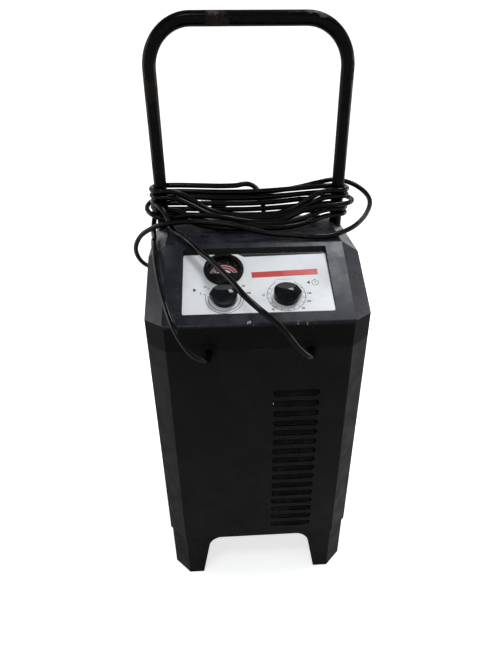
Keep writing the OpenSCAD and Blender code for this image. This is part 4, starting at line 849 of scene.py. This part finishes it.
# The clock's two hands and its stem: inner and outer radius, angle and width
CLOCK_TICKS = ((0, 3.2, UPRIGHT, 0.6), (0, 2.2, 20, 0.6), (4.9, 6.0, UPRIGHT, 1.1))
panel_print("warning_band", [WARNING_BAND], "red_ink")
panel_print("top_strip", [TOP_STRIP])
panel_print("arrow_marks", [RATE_ARROW, CLOCK_ARROW])
panel_print("clock_ring", [arc_band(CLOCK, *CLOCK_LINE, CLOCK_STEP)]
            + [tick(CLOCK, *mark) for mark in CLOCK_TICKS])

# Numbers with their angles, the half axes of the ellipse that they lie on, and their size
RATE_NUMBERS = (("2", 164), ("12", 142), ("50", 38), ("200", 13))
RATE_REACH, RATE_SIZE = (33.2, 32.2), 4.3
TIMER_NUMBERS = (("15", 177), ("45", 231), ("90", 311), ("105", 338), ("120", 5))
TIMER_REACH, TIMER_SIZE = (31.4, 29.8), 4.1
for i, (text, angle) in enumerate(RATE_NUMBERS):
    numeral(f"rate_number_{i}", text, polar(RATE_RING, *RATE_REACH, angle), RATE_SIZE,
            "black_ink")
for i, (text, angle) in enumerate(TIMER_NUMBERS):
    numeral(f"timer_number_{i}", text, polar(TIMER_RING, *TIMER_REACH, angle), TIMER_SIZE,
            "black_ink")

# The meter's dial lies below the panel's surface, and its bands and ticks go round this point
DIAL, DIAL_N, DIAL_STEP = (METER_X, 68.5), -4.98, 5
WHITE_BAND = (9.0, 11.8, 28, 152)
PALE_BANDS = ((14.4, 20.4, 20, 100), (14.4, 20.4, 116, 160))
RED_BANDS = ((15.5, 19.2, 23, 98), (15.5, 19.2, 118, 157))
# Ticks of two lengths, from and to an angle, with a long one at each whole number of LONG_EVERY
SHORT_TICK, LONG_TICK, DIAL_TICK_W = (21.2, 22.2), (21.2, 23.2), 0.5
TICKS_FROM, TICKS_TO, TICK_EVERY, LONG_EVERY = 36, 144, 6, 12
DIAL_NUMBERS = (("0", 132), ("20", 104), ("40", 76), ("60", 48))
DIAL_REACH, DIAL_SIZE = (25.6, 25.6), 2.6


def dial_print(name, faces, look, height=DIAL_PRINT_H):
    """Print on the meter's dial."""
    print_piece(name, faces, look, DIAL_N, DIAL_N + height)


dial_print("dial_white_band", [arc_band(DIAL, *WHITE_BAND, DIAL_STEP)], "white_ink")
dial_print("dial_pale_band", [arc_band(DIAL, *band, DIAL_STEP) for band in PALE_BANDS], "dial_pale")
dial_print("dial_red_band", [arc_band(DIAL, *band, DIAL_STEP) for band in RED_BANDS], "red_ink", BAND_H)
dial_print("dial_ticks", [tick(DIAL, *(SHORT_TICK if a % LONG_EVERY else LONG_TICK), a, DIAL_TICK_W)
                          for a in range(TICKS_FROM, TICKS_TO + 1, TICK_EVERY)], "dial_grey")
for i, (text, angle) in enumerate(DIAL_NUMBERS):
    numeral(f"dial_number_{i}", text, polar(DIAL, *DIAL_REACH, angle), DIAL_SIZE,
            "dial_grey", DIAL_N, math.radians(angle) - math.pi / 2)


# ---- Floor, backdrop and light, in metres ----

PAPER_DARK, PAPER_PALE, PAPER_MOTTLE = 0.80, 0.82, 3.0
PAPER_ROUGH, PAPER_GLOSS = 0.9, 0.1
NEAR, FAR = 0.8, 4.0  # between these distances the paper's glow grows from its low to its high strength
SEEN_LOW, SEEN_HIGH = 0.72, 0.95
MIRRORED_LOW, MIRRORED_HIGH = 0.30, 0.80
FLOOR_RINGS = (1.0, 2.0, 4.0, 7.0)
SWEEP_R, SWEEP_STEPS = 1.5, 9
WALL_HEIGHTS = (3.0, 4.5, 6.0)
ROUND = 48  # corners of each ring of the floor
WORLD_STRENGTH = 0.36
WHITE, PALE_BLUE, COOL = (1.0, 1.0, 1.0), (0.94, 0.975, 1.0), (0.86, 0.93, 1.0)


def white_paper():
    """Pale matt paper that the camera, mirrors and glass see white, with the object's shadow kept."""
    mat, nt = new_material("floor")
    bsdf = nt.nodes["Principled BSDF"]
    bsdf.inputs["Roughness"].default_value = PAPER_ROUGH
    bsdf.inputs["Specular IOR Level"].default_value = PAPER_GLOSS
    texture = node(nt, "ShaderNodeTexNoise", None, None, PAPER_MOTTLE)
    tone = node(nt, "ShaderNodeMapRange", texture, 0.0, 1.0, PAPER_DARK, PAPER_PALE)
    nt.links.new(tone, bsdf.inputs["Base Color"])
    path = nt.nodes.new("ShaderNodeLightPath").outputs
    place = node(nt, "ShaderNodeTexCoord", out="Object")
    away = node(nt, "ShaderNodeVectorMath", place, out="Value", operation="LENGTH")
    to_camera = node(nt, "ShaderNodeMapRange", away, NEAR, FAR, SEEN_LOW, SEEN_HIGH,
                     interpolation_type="SMOOTHSTEP")
    to_mirror = node(nt, "ShaderNodeMapRange", away, NEAR, FAR, MIRRORED_LOW, MIRRORED_HIGH,
                     interpolation_type="SMOOTHSTEP")
    mirrored = node(nt, "ShaderNodeMath", path["Is Glossy Ray"], path["Is Transmission Ray"],
                    operation="MAXIMUM")
    from_mirror = node(nt, "ShaderNodeMath", mirrored, to_mirror, operation="MULTIPLY")
    strength = node(nt, "ShaderNodeMath", path["Is Camera Ray"], to_camera, from_mirror,
                    operation="MULTIPLY_ADD")
    glow = node(nt, "ShaderNodeEmission", (*WHITE, 1.0), strength)
    both = node(nt, "ShaderNodeAddShader", bsdf.outputs[0], glow)
    nt.links.new(both, nt.nodes["Material Output"].inputs["Surface"])
    return mat


def paper_sweep():
    """A round floor that curves up into a wall all round."""
    wall_r = FLOOR_RINGS[-1] + SWEEP_R
    profile = [(r, 0.0) for r in FLOOR_RINGS]
    profile += [(FLOOR_RINGS[-1] + SWEEP_R * math.sin(a), SWEEP_R - SWEEP_R * math.cos(a)) for a in
                (math.radians(90 * i / SWEEP_STEPS) for i in range(1, SWEEP_STEPS + 1))]
    profile += [(wall_r, z) for z in WALL_HEIGHTS]
    bm = bmesh.new()
    angles = [2 * math.pi * i / ROUND for i in range(ROUND)]
    rings = [[bm.verts.new((r * math.cos(a), r * math.sin(a), z)) for a in angles] for r, z in profile]
    middle = bm.verts.new((0, 0, 0))
    for i in range(ROUND):
        bm.faces.new((middle, rings[0][i], rings[0][(i + 1) % ROUND]))
    for a, b in zip(rings, rings[1:]):
        for i in range(ROUND):
            j = (i + 1) % ROUND
            bm.faces.new((a[i], b[i], b[j], a[j]))
    mesh = bpy.data.meshes.new("floor")
    bm.to_mesh(mesh)
    bm.free()
    for polygon in mesh.polygons:
        polygon.use_smooth = True
    mesh.materials.append(white_paper())
    show("floor", mesh)


def lamp(name, place, target, size, power, colour=WHITE):
    """A rectangular lamp at a place that shines at a target."""
    data = bpy.data.lights.new(name, "AREA")
    data.shape = "RECTANGLE"
    data.size, data.size_y = size
    data.energy = power
    data.color = colour
    obj = show(name, data)
    obj.location = Vector(place)
    obj.rotation_euler = (Vector(target) - Vector(place)).to_track_quat("-Z", "Y").to_euler()


paper_sweep()
world = bpy.data.worlds.new("world")
SCENE.world = world
world.use_nodes = True
background = world.node_tree.nodes["Background"]
background.inputs["Color"].default_value = (*WHITE, 1.0)
background.inputs["Strength"].default_value = WORLD_STRENGTH
lamp("top", place=(0.76, 0.58, 2.7), target=(0, -0.05, 0.5), size=(0.6, 0.6), power=30, colour=PALE_BLUE)
lamp("front", place=(-0.35, -1.1, 2.6), target=(0, 0, 0.4), size=(0.5, 0.4), power=9, colour=COOL)
lamp("left", place=(-1.7, 0.2, 0.9), target=(0, 0, 0.4), size=(0.7, 1.5), power=13)
lamp("right", place=(1.6, 0.3, 0.72), target=(0, 0, 0.4), size=(0.8, 0.7), power=11)

SCENE.view_settings.view_transform = "Standard"
